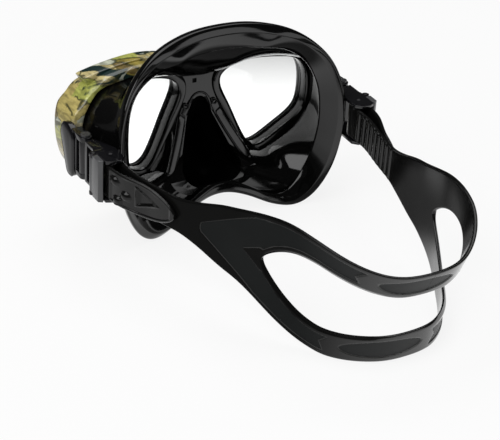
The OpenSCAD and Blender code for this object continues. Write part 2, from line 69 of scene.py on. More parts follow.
# Sizes of the solids, in millimetres, from the middle of the lens plane
MM = 0.001
WINDOW_W, WINDOW_H, WINDOW_GAP = 52.0, 49.0, 25.0
GASKET_W, GASKET_BACK = 5.0, 2.5
BROW_W, TEMPLE_W, LOWER_W, NOSE_W = 10.5, 11.5, 9.0, 8.6
BROW_DEPTH, TEMPLE_DEPTH, NOSE_BACK = 10.0, 14.0, 1.2
SEAT_IN, SEAT_STEP, SEAT_Y, FRONT_Y = 5.3, 1.5, 5.42, 8.62
RIM_HALF, RIM_TOP, RIM_LOW = 64.0, 49.5, 54.5
RIM_DEPTH, RIM_TEMPLE, FLANGE_W, SKIRT_T = 28.5, 46.0, 12.5, 2.2
NOSE_REACH, NOSE_TIP_R, NOSE_TIP_Z, NOSTRIL_R, LIP_R = 28.0, 9.0, -32.0, 8.5, 9.5
NOSE_SLANT, NOSE_TOP = 23.6, 4.0
HINGE_X, HINGE_Y, HINGE_Z, TILT, YAW = 74.0, 25.5, -5.0, 5.0, 1.0
ROLLER_R, ROLLER_U, ROLLER_N, SOFT_FIT = 2.3, 21.0, -3.0, 0.3
STRAP_T, STRAP_W, FORK_W, BAND_W, BAND_SPREAD = 2.0, 18.0, 31.0, 14.0, 42.0
STRAP_REACH, SWAY, TAIL_LEN, RIB_PITCH, BAND_LEAN = 167.0, 6.0, 48.0, 5.0, 20.0
FORK_AT, FORK_FULL, SLOT_AT, SLOT_RAMP, SLOT_ROUND, BAND_BOW = 0.45, 0.78, 0.56, 0.2, 0.7, 3.7

joints = {j["name"]: j for j in frame["joints"]}
hinge_place = np.array(joints["right_buckle_swing"]["pos_m"]) / MM
LENS_PLANE = hinge_place - np.array([HINGE_X, -HINGE_Y, HINGE_Z])
GROUND = -LENS_PLANE[2]


def placed(points):
    """Points from the lens plane's middle, in mm, as places in the part's frame, in metres."""
    return (np.asarray(points, float) + LENS_PLANE) * MM


def add_object(name, data):
    made = bpy.data.objects.new(name, data)
    scene.collection.objects.link(made)
    return made


# Camera
CAMERA_TURN, CAMERA_RISE, CAMERA_ROLL = -30.26, 26.96, 0.76
CAMERA_AIM = (34.273, 0.0, -77.609)
CAMERA_DISTANCE, CAMERA_LENS, SENSOR = 844.6, 109.72, 36.0


def set_camera():
    turn, rise, roll = (radians(a) for a in (CAMERA_TURN, CAMERA_RISE, CAMERA_ROLL))
    back = Vector((sin(turn) * cos(rise), -cos(turn) * cos(rise), sin(rise)))
    right = Vector((cos(turn), sin(turn), 0))
    up = back.cross(right)
    across = right * cos(roll) + up * sin(roll)
    upright = up * cos(roll) - right * sin(roll)
    data = bpy.data.cameras.new("camera")
    data.sensor_fit = "HORIZONTAL"
    data.sensor_width = SENSOR
    data.lens = CAMERA_LENS
    data.clip_start, data.clip_end = 0.01, 50
    camera = add_object("camera", data)
    turn_matrix = Matrix((across, upright, back)).transposed().to_4x4()
    place = Vector(placed(CAMERA_AIM)) + back * (CAMERA_DISTANCE * MM)
    camera.matrix_world = Matrix.Translation(place) @ turn_matrix
    scene.camera = camera


set_camera()


# Curves and outlines
def ease(a, b, x):
    t = np.clip((np.asarray(x, float) - a) / (b - a), 0, 1)
    return t * t * (3 - 2 * t)


def mix(a, b, t):
    return a + (b - a) * t


def unit(vectors):
    return vectors / np.linalg.norm(vectors, axis=-1)[..., None]


def bend_curve(points, steps, closed):
    """A smooth curve through the points; an open one leaves out its first and last point."""
    p = np.asarray(points, float)
    n = len(p)
    spans = range(n) if closed else range(1, n - 2)
    out = []
    for i in spans:
        a, b, c, d = (p[(i + k) % n] for k in (-1, 0, 1, 2))
        for t in np.arange(steps) / steps:
            square, cube = 2 * a - 5 * b + 4 * c - d, 3 * b - a - 3 * c + d
            out.append(0.5 * (2 * b + (c - a) * t + square * t**2 + cube * t**3))
    if not closed:
        out.append(p[n - 2])
    return np.array(out)


def outward(outline):
    along = unit(np.roll(outline, -1, 0) - np.roll(outline, 1, 0))
    return np.stack([-along[:, 1], along[:, 0]], 1)


EYE_BASE, EYE_STEPS = 0.6, 12
EYE_SHAPE = [(0, 0.8), (0.07, 0.94), (0.34, 1), (0.66, 0.97), (0.89, 0.9), (0.995, 0.72), (0.995, 0.44),
             (0.92, 0.275), (0.68, 0.12), (0.47, 0.01), (0.356, 0.03), (0.26, 0.17), (0.12, 0.5)]
EYE_PTS = [(WINDOW_GAP / 2 + x * WINDOW_W, (z - EYE_BASE) * WINDOW_H) for x, z in EYE_SHAPE]
TO_SIDE, TO_BROW, TO_NOSE = (0.2, 0.9), (0.3, 0.9), (0.2, 0.5)
eye = bend_curve(EYE_PTS, EYE_STEPS, True)
eye_n = outward(eye)
at_side = ease(*TO_SIDE, eye_n[:, 0])
at_brow = ease(*TO_BROW, eye_n[:, 1])
at_nose = ease(*TO_NOSE, -eye_n[:, 0])


# Mesh helpers
SEAM_GAP, FINE_SEAM = 1e-5, 2e-6


def new_piece(name, points, faces):
    mesh = bpy.data.meshes.new(name)
    mesh.from_pydata([tuple(p) for p in points], [], [tuple(f) for f in faces])
    mesh.update()
    return add_object(name, mesh)


def only(*pieces):
    bpy.ops.object.select_all(action="DESELECT")
    for piece in pieces:
        piece.select_set(True)
    bpy.context.view_layer.objects.active = pieces[0]


def edit(piece, *steps):
    """Runs edit-mode steps on all of a piece."""
    only(piece)
    bpy.ops.object.mode_set(mode="EDIT")
    bpy.ops.mesh.select_all(action="SELECT")
    for step, settings in steps:
        getattr(bpy.ops.mesh, step)(**settings)
    bpy.ops.object.mode_set(mode="OBJECT")


def close_seams(piece, gap=SEAM_GAP):
    edit(piece, ("remove_doubles", {"threshold": gap}),
         ("dissolve_degenerate", {"threshold": gap / 10}),
         ("select_all", {"action": "SELECT"}),
         ("normals_make_consistent", {"inside": False}))
    return piece


def set_all(target, settings):
    for key, value in settings.items():
        setattr(target, key, value)


def modify(piece, kind, **settings):
    only(piece)
    modifier = piece.modifiers.new(kind.lower(), kind)
    set_all(modifier, settings)
    bpy.ops.object.modifier_apply(modifier=modifier.name)


def cut(piece, cutter, operation="DIFFERENCE", keep=False):
    modify(piece, "BOOLEAN", object=cutter, operation=operation, solver="EXACT")
    if not keep:
        bpy.data.objects.remove(cutter)


def joined(name, *pieces):
    only(*pieces)
    bpy.ops.object.join()
    pieces[0].name = name
    pieces[0].data.name = name
    return pieces[0]


def soften(piece, angle):
    only(piece)
    bpy.ops.object.shade_smooth_by_angle(angle=radians(angle))


def set_values(piece, name, values):
    """Gives a piece's points values for its finish."""
    layer = piece.data.attributes.new(name, "FLOAT", "POINT")
    layer.data.foreach_set("value", values)


def mirrored(piece):
    """A copy on the other side of the middle plane, with its own mesh."""
    twin = piece.copy()
    twin.data = piece.data.copy()
    scene.collection.objects.link(twin)
    twin.data.transform(Matrix.Scale(-1, 4, (1, 0, 0)))
    twin.data.flip_normals()
    return twin


def hull(name, points):
    piece = new_piece(name, placed(points), [])
    edit(piece, ("convex_hull", {}), ("normals_make_consistent", {"inside": False}))
    return piece


def loft(name, sections, ring=True):
    """A skin over closed sections, joined to a ring or capped at both ends."""
    sections = np.asarray(sections, float)
    n, m = sections.shape[:2]
    faces = [(i * m + k, i * m + (k + 1) % m, (i + 1) % n * m + (k + 1) % m, (i + 1) % n * m + k)
             for i in range(n if ring else n - 1) for k in range(m)]
    if not ring:
        faces += [tuple(range(m)), tuple(range((n - 1) * m, n * m))]
    return close_seams(new_piece(name, placed(sections.reshape(-1, 3)), faces))


def around_eye(name, offsets, depths, part=slice(None), ring=True):
    """A skin along the right window's outline: offsets outwards and depths forwards."""
    xz = eye[part, None] + np.asarray(offsets, float)[..., None] * eye_n[part, None]
    y = np.broadcast_to(depths, xz.shape[:2])
    return loft(name, np.stack([xz[..., 0], y, xz[..., 1]], 2), ring)


def from_curve(name, lines, closed, **settings):
    """A mesh from lines of points, filled or thickened by the curve's settings."""
    data = bpy.data.curves.new(name, "CURVE")
    set_all(data, settings)
    for line in lines:
        spline = data.splines.new("POLY")
        spline.points.add(len(line) - 1)
        spline.use_cyclic_u = closed
        for point, place in zip(spline.points, line):
            point.co = (*place, 1)
    only(add_object(name, data))
    bpy.ops.object.convert(target="MESH")
    return bpy.context.view_layer.objects.active


def plate(name, outline, y_low, y_high, holes=()):
    """A flat outline in x and z, with holes, given a thickness in y."""
    lines = [[(x * MM, z * MM, 0) for x, z in line] for line in (outline, *holes)]
    half = (y_high - y_low) / 2 * MM
    piece = from_curve(name, lines, True, dimensions="2D", fill_mode="BOTH", extrude=half)
    upright = Matrix(((1, 0, 0, 0), (0, 0, -1, (y_low + y_high) / 2 * MM), (0, 1, 0, 0), (0, 0, 0, 1)))
    piece.data.transform(Matrix.Translation(Vector(LENS_PLANE * MM)) @ upright)
    return close_seams(piece)


# Skirt
RIM_SHAPE = [(0, 1), (0.33, 0.97), (0.63, 0.85), (0.85, 0.62), (0.965, 0.33), (1, 0), (0.985, -0.3),
             (0.92, -0.62), (0.8, -0.88), (0.65, -1), (0.47, -0.97), (0.27, -0.85), (0.12, -0.78), (0, -0.76)]
RIM_RIGHT = [(x * RIM_HALF, z * (RIM_TOP if z > 0 else RIM_LOW)) for x, z in RIM_SHAPE]
RIM_STEPS, RAY_STEP, TINY = 8, 2.5, 1e-9
FRONT_RISE, FRONT_DIP, FRONT_TUCK, FRONT_ROUND = 2.75, 0.27, 0.3, 2
FRONT_STEPS, FRONT_FIRST, FRONT_LAST = 4, 4, 39
SKIRT_MID = np.array([0.0, -3.0])
rim = bend_curve(RIM_RIGHT + [(-x, z) for x, z in RIM_RIGHT[-2:0:-1]], RIM_STEPS, True)
rays = np.radians(np.arange(0, 360, RAY_STEP))


def reach(outline, angle):
    """How far a ray from the skirt's middle goes to the outline."""
    d = np.array([cos(angle), sin(angle)])
    a = outline - SKIRT_MID
    e = np.roll(outline, -1, 0) - outline
    q = d[0] * e[:, 1] - d[1] * e[:, 0]
    q[np.abs(q) < TINY] = TINY
    t = (a[:, 0] * e[:, 1] - a[:, 1] * e[:, 0]) / q
    s = (a[:, 0] * d[1] - a[:, 1] * d[0]) / q
    return t[(s >= -TINY) & (s <= 1 + TINY)].max()


def front_outline():
    """The wall's front edge, round both gaskets."""
    coarse = bend_curve(EYE_PTS, FRONT_STEPS, True)
    edge = coarse + (GASKET_W - FRONT_TUCK) * outward(coarse)
    half = [(0, coarse[FRONT_FIRST, 1] + FRONT_RISE)]
    half += [tuple(p) for p in edge[FRONT_FIRST:FRONT_LAST]] + [(0, -FRONT_DIP * WINDOW_H)]
    return np.array(half + [(-x, z) for x, z in half[-2:0:-1]])


front_r = np.array([reach(front_outline(), a) for a in rays])
front_r = sum(np.roll(front_r, k) for k in range(-FRONT_ROUND, FRONT_ROUND + 1)) / (2 * FRONT_ROUND + 1)
rim_r = np.array([reach(rim, a) for a in rays])

TEMPLE_FOLD, TEMPLE_FROM, LOW_FROM = 9.4, (0.5, 0.95), (0.6, 1)
LOW_CUT, TEMPLE_CUT, FRAME_CLEAR = 0.45, 0.26, 0.5
# Three places down the outer wall: shares of the way outwards and backwards
WALL_NEAR, WALL_HALF, WALL_FAR = (0.55, 0.5), (0.5, 0.42), (0.62, 0.55)
WALL_TUCK, WALL_STRAIGHT, WALL_FLARE, FAR_LEAD, RIM_BEND, RIM_LEAD = 0.8, 0.55, 0.4, 6, 0.1, 7
# The rim's edge: outwards and forwards of the rim. The flange's face: share of its width, and rise.
# The flange's front: share of its width, step outwards, rise, and share of the fold.
RIM_EDGE = [(0.6, 3.8), (0.6, 2.4), (0.25, 1.5)]
FLANGE_FACE = [(0.04, 1.0), (0.15, 0.55), (0.27, 0.1), (0.31, 0.0), (0.335, 0.02), (0.37, 0.12), (0.55, 0.5),
               (0.75, 1.05), (0.92, 1.7), (0.985, 2.1), (1.0, 2.6)]
FLANGE_FRONT = [(1.0, 0.5, 3.1, 1.0), (0.8, 0, 2.6, 0.85), (0.5, 0, 2.4, 0.6), (0, -4.2, 3.6, 0.4)]


def skirt_wall():
    f, r = front_r, rim_r
    c, s = np.cos(rays), np.sin(rays)
    yr = -mix(RIM_DEPTH, RIM_TEMPLE, (r * c / RIM_HALF) ** 2)
    yw = -mix(BROW_DEPTH, TEMPLE_DEPTH, c * c) - FRAME_CLEAR
    temple = ease(*TEMPLE_FROM, np.abs(c))
    w = FLANGE_W * (1 - LOW_CUT * ease(*LOW_FROM, -s) - TEMPLE_CUT * temple)
    fold = TEMPLE_FOLD * temple
    m, ym = mix(f, r, WALL_HALF[0]), mix(yw, yr, WALL_HALF[1])
    k, yk = mix(m, r, WALL_FAR[0]), mix(ym, yr + FAR_LEAD, WALL_FAR[1])
    h, yh = mix(f, m, WALL_NEAR[0]), mix(yw, ym, WALL_NEAR[1])
    outer = [(f, 0 * f - GASKET_BACK + WALL_TUCK), (f, WALL_STRAIGHT * yw), (f + WALL_FLARE, yw), (h, yh),
             (m, ym), (k, yk), (r + RIM_BEND, yr + RIM_LEAD)]
    rolled = [(r + out, yr + lead) for out, lead in RIM_EDGE]
    rolled += [(r - q * w, yr + rise + fold * q) for q, rise in FLANGE_FACE]
    rolled += [(r - q * w + step, yr + rise + share * fold) for q, step, rise, share in FLANGE_FRONT]
    line = np.array(outer)
    along = np.gradient(line, axis=0)
    along /= np.linalg.norm(along, axis=1)[:, None]
    inner = line + SKIRT_T * np.stack([along[:, 1], -along[:, 0]], 1)
    profile = outer + rolled + list(inner[::-1])
    sections = np.stack([np.stack([SKIRT_MID[0] + q * c, y, SKIRT_MID[1] + q * s], 1) for q, y in profile], 1)
    wall = loft("skirt", sections)
    modify(wall, "SUBSURF", levels=1, render_levels=1)
    return wall


# The nose pocket's balls: x, y, z and radius
BRIDGE_BALL = (0, -2.6, 1.2, 4.5)
TIP_BALL = (0, NOSE_REACH - NOSE_TIP_R - SKIRT_T, NOSE_TIP_Z, NOSE_TIP_R)
NOSTRIL_X, NOSTRIL_BACK, LIP_Y, LIP_Z, POCKET_LIP_X = 9, 19, -20, -29.5, 14.0
MOUTH_LIP_X, MOUTH_LIP_R, NOSE_VOXEL = 8.0, 9.0, 0.9


def nose_blob(name, grow, lip_x, lip_r):
    """The nose pocket's form: balls at the bridge, the tip, the nostrils and the lip, wrapped in one skin."""
    nostril_z = GROUND + NOSTRIL_R + SKIRT_T
    balls = [BRIDGE_BALL, TIP_BALL]
    for side in (-1, 1):
        balls += [(NOSTRIL_X * side, NOSE_REACH - NOSTRIL_BACK, nostril_z, NOSTRIL_R),
                  (lip_x * side, LIP_Y, LIP_Z, lip_r)]
    parts = []
    for x, y, z, r in balls:
        bpy.ops.mesh.primitive_uv_sphere_add(
            segments=40, ring_count=20, radius=(r + grow) * MM, location=placed((x, y, z)))
        parts.append(bpy.context.object)
        bpy.ops.object.transform_apply()
    blob = joined(name, *parts)
    edit(blob, ("convex_hull", {}))
    modify(blob, "REMESH", mode="VOXEL", voxel_size=NOSE_VOXEL * MM)
    modify(blob, "SMOOTH", factor=0.5, iterations=5)
    return blob


# The slanting wall beside the nose, and what stands on it
SLANT = radians(NOSE_SLANT)
SLANT_REAR = np.array([0, -cos(SLANT), sin(SLANT)])
FLANK_TOP, FLANK_LOW, LEDGE = -5.0, -36.0, -33.0
BEHIND_X, BEHIND_TOP, BEHIND_Y, INSIDE_GAP = 45, 12, -60, 0.4
FLANK_ROWS, FLANK_LAP, FLANK_FRONT, SKIN_GAP = 16, 0.5, 1, 0.01
INNER_TOP, INNER_LOW, INNER_SPAN, INNER_UNDER, INNER_LEAST = 4.5, 17, 31.2, 3, 0.5
FOOT_Z, FOOT_X = [-36, -28.5, -21, -5, 0], [35, 29, 23.5, 16.2, 14]
FOOT_ROOM, FOOT_Y, FOOT_STEP = 0.8, -5.2, 0.3
EDGE_ROUND, EDGE_DROP, EDGE_CLEAR = 0.7, 0.35, 0.3
RIDGE = [(8.0, 1.5), (9.6, -2.5), (14.4, -13.5), (18.8, -22.5), (22.2, -29.0), (23.6, -32.0)]
RIDGE_HALF, RIDGE_HEIGHT, RIDGE_STEPS, RIDGE_SIDES = 2.4, 1.3, 8, 32
RIDGE_TIP, RIDGE_FLAT, RIDGE_STEEP = 0.02, 0.6, 0.35
MOUTH_TOP = [(7.6, -4.0), (6.0, 1.6), (3.9, 5.3), (1.3, 6.8)]
MOUTH_STEPS, BEAD_R = 6, 0.6


def slant_y(z, top=FLANK_TOP):
    return -GASKET_BACK - SKIRT_T - np.maximum(0, top - np.asarray(z, float)) * tan(SLANT)


def mark_inside(piece, cavity):
    """Marks a piece's points on the cavity's skin, for a duller finish there."""
    tree = kdtree.KDTree(len(cavity.data.vertices))
    for i, vertex in enumerate(cavity.data.vertices):
        tree.insert(vertex.co, i)
    tree.balance()
    set_values(piece, "inside", [float(tree.find(v.co)[2] < INSIDE_GAP * MM) for v in piece.data.vertices])


def nose_pocket(cavity):
    """The pocket's solid, cut off along the slanting wall and hollowed out."""
    pocket = nose_blob("nose_pocket", SKIRT_T, POCKET_LIP_X, LIP_R)
    rear = placed((0, slant_y(NOSE_TOP, NOSE_TOP), NOSE_TOP))
    edit(pocket, ("bisect", {"plane_co": rear, "plane_no": tuple(-SLANT_REAR), "clear_inner": True,
                             "use_fill": True}))
    behind = [(x, y, z) for x in (-BEHIND_X, BEHIND_X) for z in (BEHIND_TOP, FLANK_TOP, LEDGE)
              for y in (slant_y(z), BEHIND_Y)]
    cut(pocket, hull("behind_flanks", behind))
    cut(pocket, cavity, keep=True)
    mark_inside(pocket, cavity)
    return pocket


def nose_flank():
    """The slanting wall between the pocket's mouth and the right window."""
    z = np.linspace(FLANK_TOP + FLANK_LAP, FLANK_LOW, FLANK_ROWS)
    rear = slant_y(z) - SKIN_GAP
    down = (BRIDGE_BALL[2] - z) / INNER_SPAN
    inner = np.maximum(INNER_LEAST, mix(INNER_TOP, INNER_LOW, down) - INNER_UNDER)
    ridge = np.array(RIDGE)[::-1]
    edge = np.interp(z, ridge[:, 1], ridge[:, 0]) + RIDGE_HALF + EDGE_CLEAR
    foot = np.maximum(np.interp(z, FOOT_Z, FOOT_X), edge + FOOT_ROOM)
    foot_y = np.maximum(FOOT_Y, rear + FOOT_STEP)
    front = 0 * z - GASKET_BACK - FLANK_FRONT
    edge_y = rear + EDGE_DROP * np.minimum(1, foot_y - rear)
    rows = [(inner, front), (inner, rear), (edge - EDGE_ROUND, rear), (edge, edge_y), (foot, foot_y),
            (foot, front + SKIN_GAP)]
    return loft("nose_flank", np.stack([np.stack([x, y, z], 1) for x, y in rows], 1), ring=False)


def on_slant(points):
    points = np.asarray(points, float)
    return np.stack([points[:, 0], slant_y(points[:, 1]), points[:, 1]], 1)


def length_along(path):
    return np.concatenate([[0], np.cumsum(np.linalg.norm(np.diff(path, axis=0), axis=1))])


def nose_ridge():
    """A flat raised band with round ends beside the pocket's mouth."""
    ends = [2 * np.array(RIDGE[0]) - RIDGE[1], 2 * np.array(RIDGE[-1]) - RIDGE[-2]]
    path = on_slant(bend_curve([ends[0]] + RIDGE + [ends[1]], RIDGE_STEPS, False))
    far = length_along(path)
    near_end = np.minimum(far, far[-1] - far) / RIDGE_HALF
    size = np.sqrt(np.clip(1 - np.clip(1 - near_end, 0, 1) ** 2, RIDGE_TIP, 1))[:, None, None]
    across = unit(np.cross(np.gradient(path, axis=0), SLANT_REAR))
    turn = np.linspace(0, 2 * pi, RIDGE_SIDES, endpoint=False)
    wide = np.sign(np.cos(turn)) * np.abs(np.cos(turn)) ** RIDGE_FLAT
    high = np.sign(np.sin(turn)) * np.abs(np.sin(turn)) ** RIDGE_STEEP
    section = RIDGE_HALF * across[:, None] * wide[:, None] + RIDGE_HEIGHT * SLANT_REAR * high[:, None]
    return loft("nose_ridge", path[:, None] + size * section, ring=False)


def mouth_bead():
    half = np.array(MOUTH_TOP)
    path = np.vstack([half, half[::-1] * (-1, 1)])
    path = on_slant(bend_curve(np.vstack([path[:1], path, path[-1:]]), MOUTH_STEPS, False))
    bead = from_curve("mouth_bead", [placed(path)], False, dimensions="3D", bevel_depth=BEAD_R * MM,
                      bevel_resolution=5, use_fill_caps=True)
    return close_seams(bead)


MARK_AT, MARK_HALF, MARK_DEEP = (-2.6, 14.0), 1.2, 1.0
RING_AT, RING_R, RING_THICK = (8.4, 0.4), 1.35, 0.38
WEB_IN, WEB_HOLE, WEB_FRONT = 0.2, 2.6, 0.2
# The lens gasket's section: outwards from the window's edge, and forwards
GASKET_OUT = [5, 4.7, 4.2, 3.7, 1.0, 0.4, 0.05, -0.1, 0, 2.45, 2.45, 1.0, 0.95, 1.3, 4.6, 5]
GASKET_Y = [-4.4, -5.3, -5.9, -6.1, -5.7, -5.4, -4.8, -2.6, -0.08, -0.08, 4.08, 4.08, 5.2, 5.4, 5.4, 5.1]
SKIRT_CREASE = 40


def square_mark():
    """The cutter of the small square dimple above the nose."""
    corner = np.array([(-1, -1), (1, -1), (1, 1), (-1, 1)]) * MARK_HALF
    rear = -GASKET_BACK - SKIRT_T
    return plate("square_mark", corner + MARK_AT, rear - MARK_DEEP, rear + MARK_DEEP)


def ridge_ring():
    """A small ring on the ridge's upper end."""
    top = on_slant([RING_AT]) + RIDGE_HEIGHT * SLANT_REAR
    bpy.ops.mesh.primitive_torus_add(
        location=placed(top)[0], rotation=(radians(90) - SLANT, 0, 0), major_segments=32, minor_segments=10,
        major_radius=RING_R * MM, minor_radius=RING_THICK * MM)
    ring = bpy.context.object
    ring.name = "ridge_ring"
    bpy.ops.object.transform_apply()
    return ring


def make_skirt():
    web_r = front_r - WEB_IN
    outline = np.stack([SKIRT_MID[0] + web_r * np.cos(rays), SKIRT_MID[1] + web_r * np.sin(rays)], 1)
    hole = eye + WEB_HOLE * eye_n
    web = plate("web", outline, -GASKET_BACK - SKIRT_T, -GASKET_BACK + WEB_FRONT, (hole, hole * (-1, 1)))
    wall = skirt_wall()
    cavity = nose_blob("nose_cavity", 0, MOUTH_LIP_X, MOUTH_LIP_R)
    pocket = nose_pocket(cavity)
    flank = nose_flank()
    cut(flank, cavity, keep=True)
    cut(wall, cavity, keep=True)
    cut(web, cavity)
    mark = square_mark()
    cut(web, mark, keep=True)
    mark_inside(web, mark)
    bpy.data.objects.remove(mark)
    gasket = around_eye("lens_gasket", GASKET_OUT, GASKET_Y)
    ridge = nose_ridge()
    ring = ridge_ring()
    return joined("skirt_dress", wall, web, gasket, mirrored(gasket), pocket, flank, mirrored(flank), ridge,
                  mirrored(ridge), ring, mirrored(ring), mouth_bead())


skirt = make_skirt()
soften(skirt, SKIRT_CREASE)


# Frame
BROW_FIRST, BROW_LAST, BROW_RISE, BROW_REAR, BROW_TUCK, BROW_BEVEL = 9, 47, 1.2, -4.5, -3.6, 0.4
# The brow plate's section: rise over the frame's edge, and depth
BROW_PROFILE = [(BROW_TUCK, FRONT_Y - 2.4), (BROW_RISE - 0.8, FRONT_Y - 2.6),
                (BROW_RISE - 0.2, FRONT_Y - 3.4), (BROW_RISE, 2.0), (BROW_RISE, BROW_REAR + 1.0),
                (BROW_RISE - 0.3, BROW_REAR + 0.25), (BROW_RISE - 0.8, BROW_REAR), (BROW_TUCK, BROW_REAR)]
CORNER_DROP, CORNER_OUT, CORNER_UP = 3.2, (0.12, 0.45), (0.3, 0.62)
# The frame's section: face as shares of its width, side and rear from the edge
SEAT_LEAD, FACE_START, SIDE_BULGE, REAR_IN = 0.4, 0.9, 0.2, 0.5
FRAME_FACE = [(0.15, -0.25), (0.4, 0), (0.65, -0.2), (0.85, -1)]
FRAME_SIDE = [(-0.15, -2.2), (0.1, -3.6)]
FRAME_REAR = [(0.05, 3), (-0.25, 1.4), (-0.9, 0.35), (-1.7, 0)]
BRIDGE_SHAPE = [(-9, 8), (-7, 7), (7, 7), (9, 8), (9, 22), (6, 24), (-6, 24), (-9, 22)]
BRIDGE_BEVEL, BRIDGE_BACK, SEAT_OVER = 0.8, 1, 1
FRAME_CREASE = 32


def brow_plate(o):
    """The raised plate along the frame's brow, ending in a step at the temple."""
    part = slice(BROW_FIRST, BROW_LAST + 1)
    rise, depths = np.transpose(BROW_PROFILE)
    made = around_eye("brow_plate", o[part, None] + rise, depths, part, ring=False)
    modify(made, "BEVEL", width=BROW_BEVEL * MM, segments=2, limit_method="ANGLE", angle_limit=radians(50))
    return made


def make_frame():
    plate_o = mix(LOWER_W + (BROW_W - LOWER_W) * at_brow + (TEMPLE_W - LOWER_W) * at_side, NOSE_W, at_nose)
    o = plate_o - CORNER_DROP * ease(*CORNER_OUT, eye_n[:, 0]) * ease(*CORNER_UP, eye_n[:, 1])
    yb = mix(-BROW_DEPTH - (TEMPLE_DEPTH - BROW_DEPTH) * at_side, NOSE_BACK, at_nose)
    seat_o, g, seat_y, fy = (value + 0 * o for value in (SEAT_IN, SEAT_IN + SEAT_STEP, SEAT_Y, FRONT_Y))
    a = o - g
    profile = [(seat_o, yb + SEAT_LEAD), (seat_o, seat_y), (g, seat_y), (g, fy - FACE_START)]
    profile += [(g + share * a, fy + y) for share, y in FRAME_FACE]
    profile += [(o + out, fy + y) for out, y in FRAME_SIDE] + [(o + SIDE_BULGE, mix(yb, FRONT_Y, 0.5))]
    profile += [(o + out, yb + y) for out, y in FRAME_REAR] + [(seat_o + REAR_IN, yb)]
    offsets, depths = (np.stack([point[k] for point in profile], 1) for k in (0, 1))
    ring = around_eye("frame_dress", offsets, depths)
    cut(ring, brow_plate(plate_o), "UNION")
    twin = mirrored(ring)
    bar = plate("bridge", BRIDGE_SHAPE, NOSE_BACK, FRONT_Y - BRIDGE_BACK)
    modify(bar, "BEVEL", width=BRIDGE_BEVEL * MM, segments=3, limit_method="ANGLE")
    seat = eye + (SEAT_IN + SEAT_STEP) * eye_n
    for side in (1, -1):
        cut(bar, plate("seat", seat * (side, 1), -SEAT_OVER, FRONT_Y + SEAT_OVER))
    cut(ring, bar, "UNION")
    cut(ring, twin, "UNION")
    return ring


# Hinge seats: the cap's two round ends with y, z and radius, and the spine's block
CAP_SEAT_X, CAP_SEAT_ENDS, CAP_SEAT_STEP = (0.55, 7.4), ((14, 5, 7.55), (11, -11, 4.55)), 10
SPINE_SEAT = (-2.7, 3.3), (4.0, 10.1), (-11.7, 11.7)


def from_hinge(points):
    """Points in the right hinge pin's own frame, as points from the lens plane's middle."""
    p = np.asarray(points, float)
    c, s = cos(radians(TILT)), sin(radians(TILT))
    return np.stack([HINGE_X + p[..., 0], -HINGE_Y + p[..., 1] * c - p[..., 2] * s,
                     HINGE_Z + p[..., 1] * s + p[..., 2] * c], -1)


def cut_hinge_seats(piece):
    turn = np.radians(np.arange(0, 360, CAP_SEAT_STEP))
    cap = [(x, cy + r * c, cz + r * s) for x in CAP_SEAT_X for cy, cz, r in CAP_SEAT_ENDS
           for c, s in zip(np.cos(turn), np.sin(turn))]
    block = list(itertools.product(*SPINE_SEAT))
    for side in (1, -1):
        for name, points in (("cap_seat", cap), ("spine_seat", block)):
            cut(piece, hull(name, from_hinge(points) * (side, 1, 1)))


frame_dress = make_frame()
cut_hinge_seats(frame_dress)
soften(frame_dress, FRAME_CREASE)


# Strap
TURN_R = ROLLER_R + SOFT_FIT + STRAP_T / 2
RIB_FIRST, RIB_COUNT, RIB_W, RIB_H, RIB_SLOPE, RIB_EDGE = 7.0, 9, 2.6, 0.6, 0.7, (0.4, 1.4)
RIB_END = RIB_FIRST + RIB_COUNT * RIB_PITCH
TAIL_GAP, TAIL_SETTLE, TAIL_TIP, TIP_FLAT = STRAP_T + 0.5, (4, 34), 3, 0.02
RUN_SHAPE = [(0.16, 0.34), (0.24, 0.47), (0.32, 0.61), (0.41, 0.75), (0.57, 0.895), (0.78, 0.98), (1, 1),
             (1.22, 0.98)]
RUN_LEAD, RUN_STEPS = 16, 16
BOW_OUT, BOW_BACK, FORK_LEAD, RIB_LEAD = (0.42, 0.7), (0.74, 0.95), 0.1, 0.04
TIP_ROWS, TAIL_ROWS, TURN_ROWS, RIB_ROWS, FORK_ROWS, BAND_ROWS, BAND_CROWD = 9, 62, 25, 150, 110, 170, 1.25
TAIL_START, RUN_START, TAIL_SHIFT, TURN_SHIFT = 0.5, 0.3, 8, 4
LEAN_FROM = (0.45, 1)


def turned(p):
    c, s = cos(radians(YAW)), sin(radians(YAW))
    p = np.asarray(p, float)
    return np.stack([p[..., 0] * c + p[..., 1] * s, -p[..., 0] * s + p[..., 1] * c], -1)


roller_at = turned((ROLLER_N, -ROLLER_U))
run_start = roller_at + turned((-TURN_R, 0))
run_points = [run_start + turned((0, RUN_LEAD)), run_start, run_start + turned((0, -RUN_LEAD))]
run_points += [(-x * HINGE_X, -y * STRAP_REACH) for x, y in RUN_SHAPE]
run = bend_curve(run_points, RUN_STEPS, False)
run_s = length_along(run)
RUN_LEN = run_s[-1]
SLOT_S = SLOT_AT * RUN_LEN


def run_at(s):
    return np.stack([np.interp(s, run_s, run[:, k]) for k in (0, 1)], -1)


def run_dir(s):
    return unit(run_at(np.minimum(s + 1, RUN_LEN)) - run_at(np.maximum(s - 1, 0)))


def bow(q):
    """How far the bands bow apart behind the fork."""
    return BAND_BOW * ease(*BOW_OUT, q) * (1 - ease(*BOW_BACK, q))


def half_out(s):
    """From the middle line to the outer edge."""
    q = s / RUN_LEN
    narrow = mix(STRAP_W / 2, FORK_W / 2, ease(RIB_END / RUN_LEN - RIB_LEAD, FORK_AT, q))
    return bow(q) + mix(narrow, BAND_SPREAD / 2 + BAND_W / 2, ease(FORK_AT - FORK_LEAD, FORK_FULL, q))


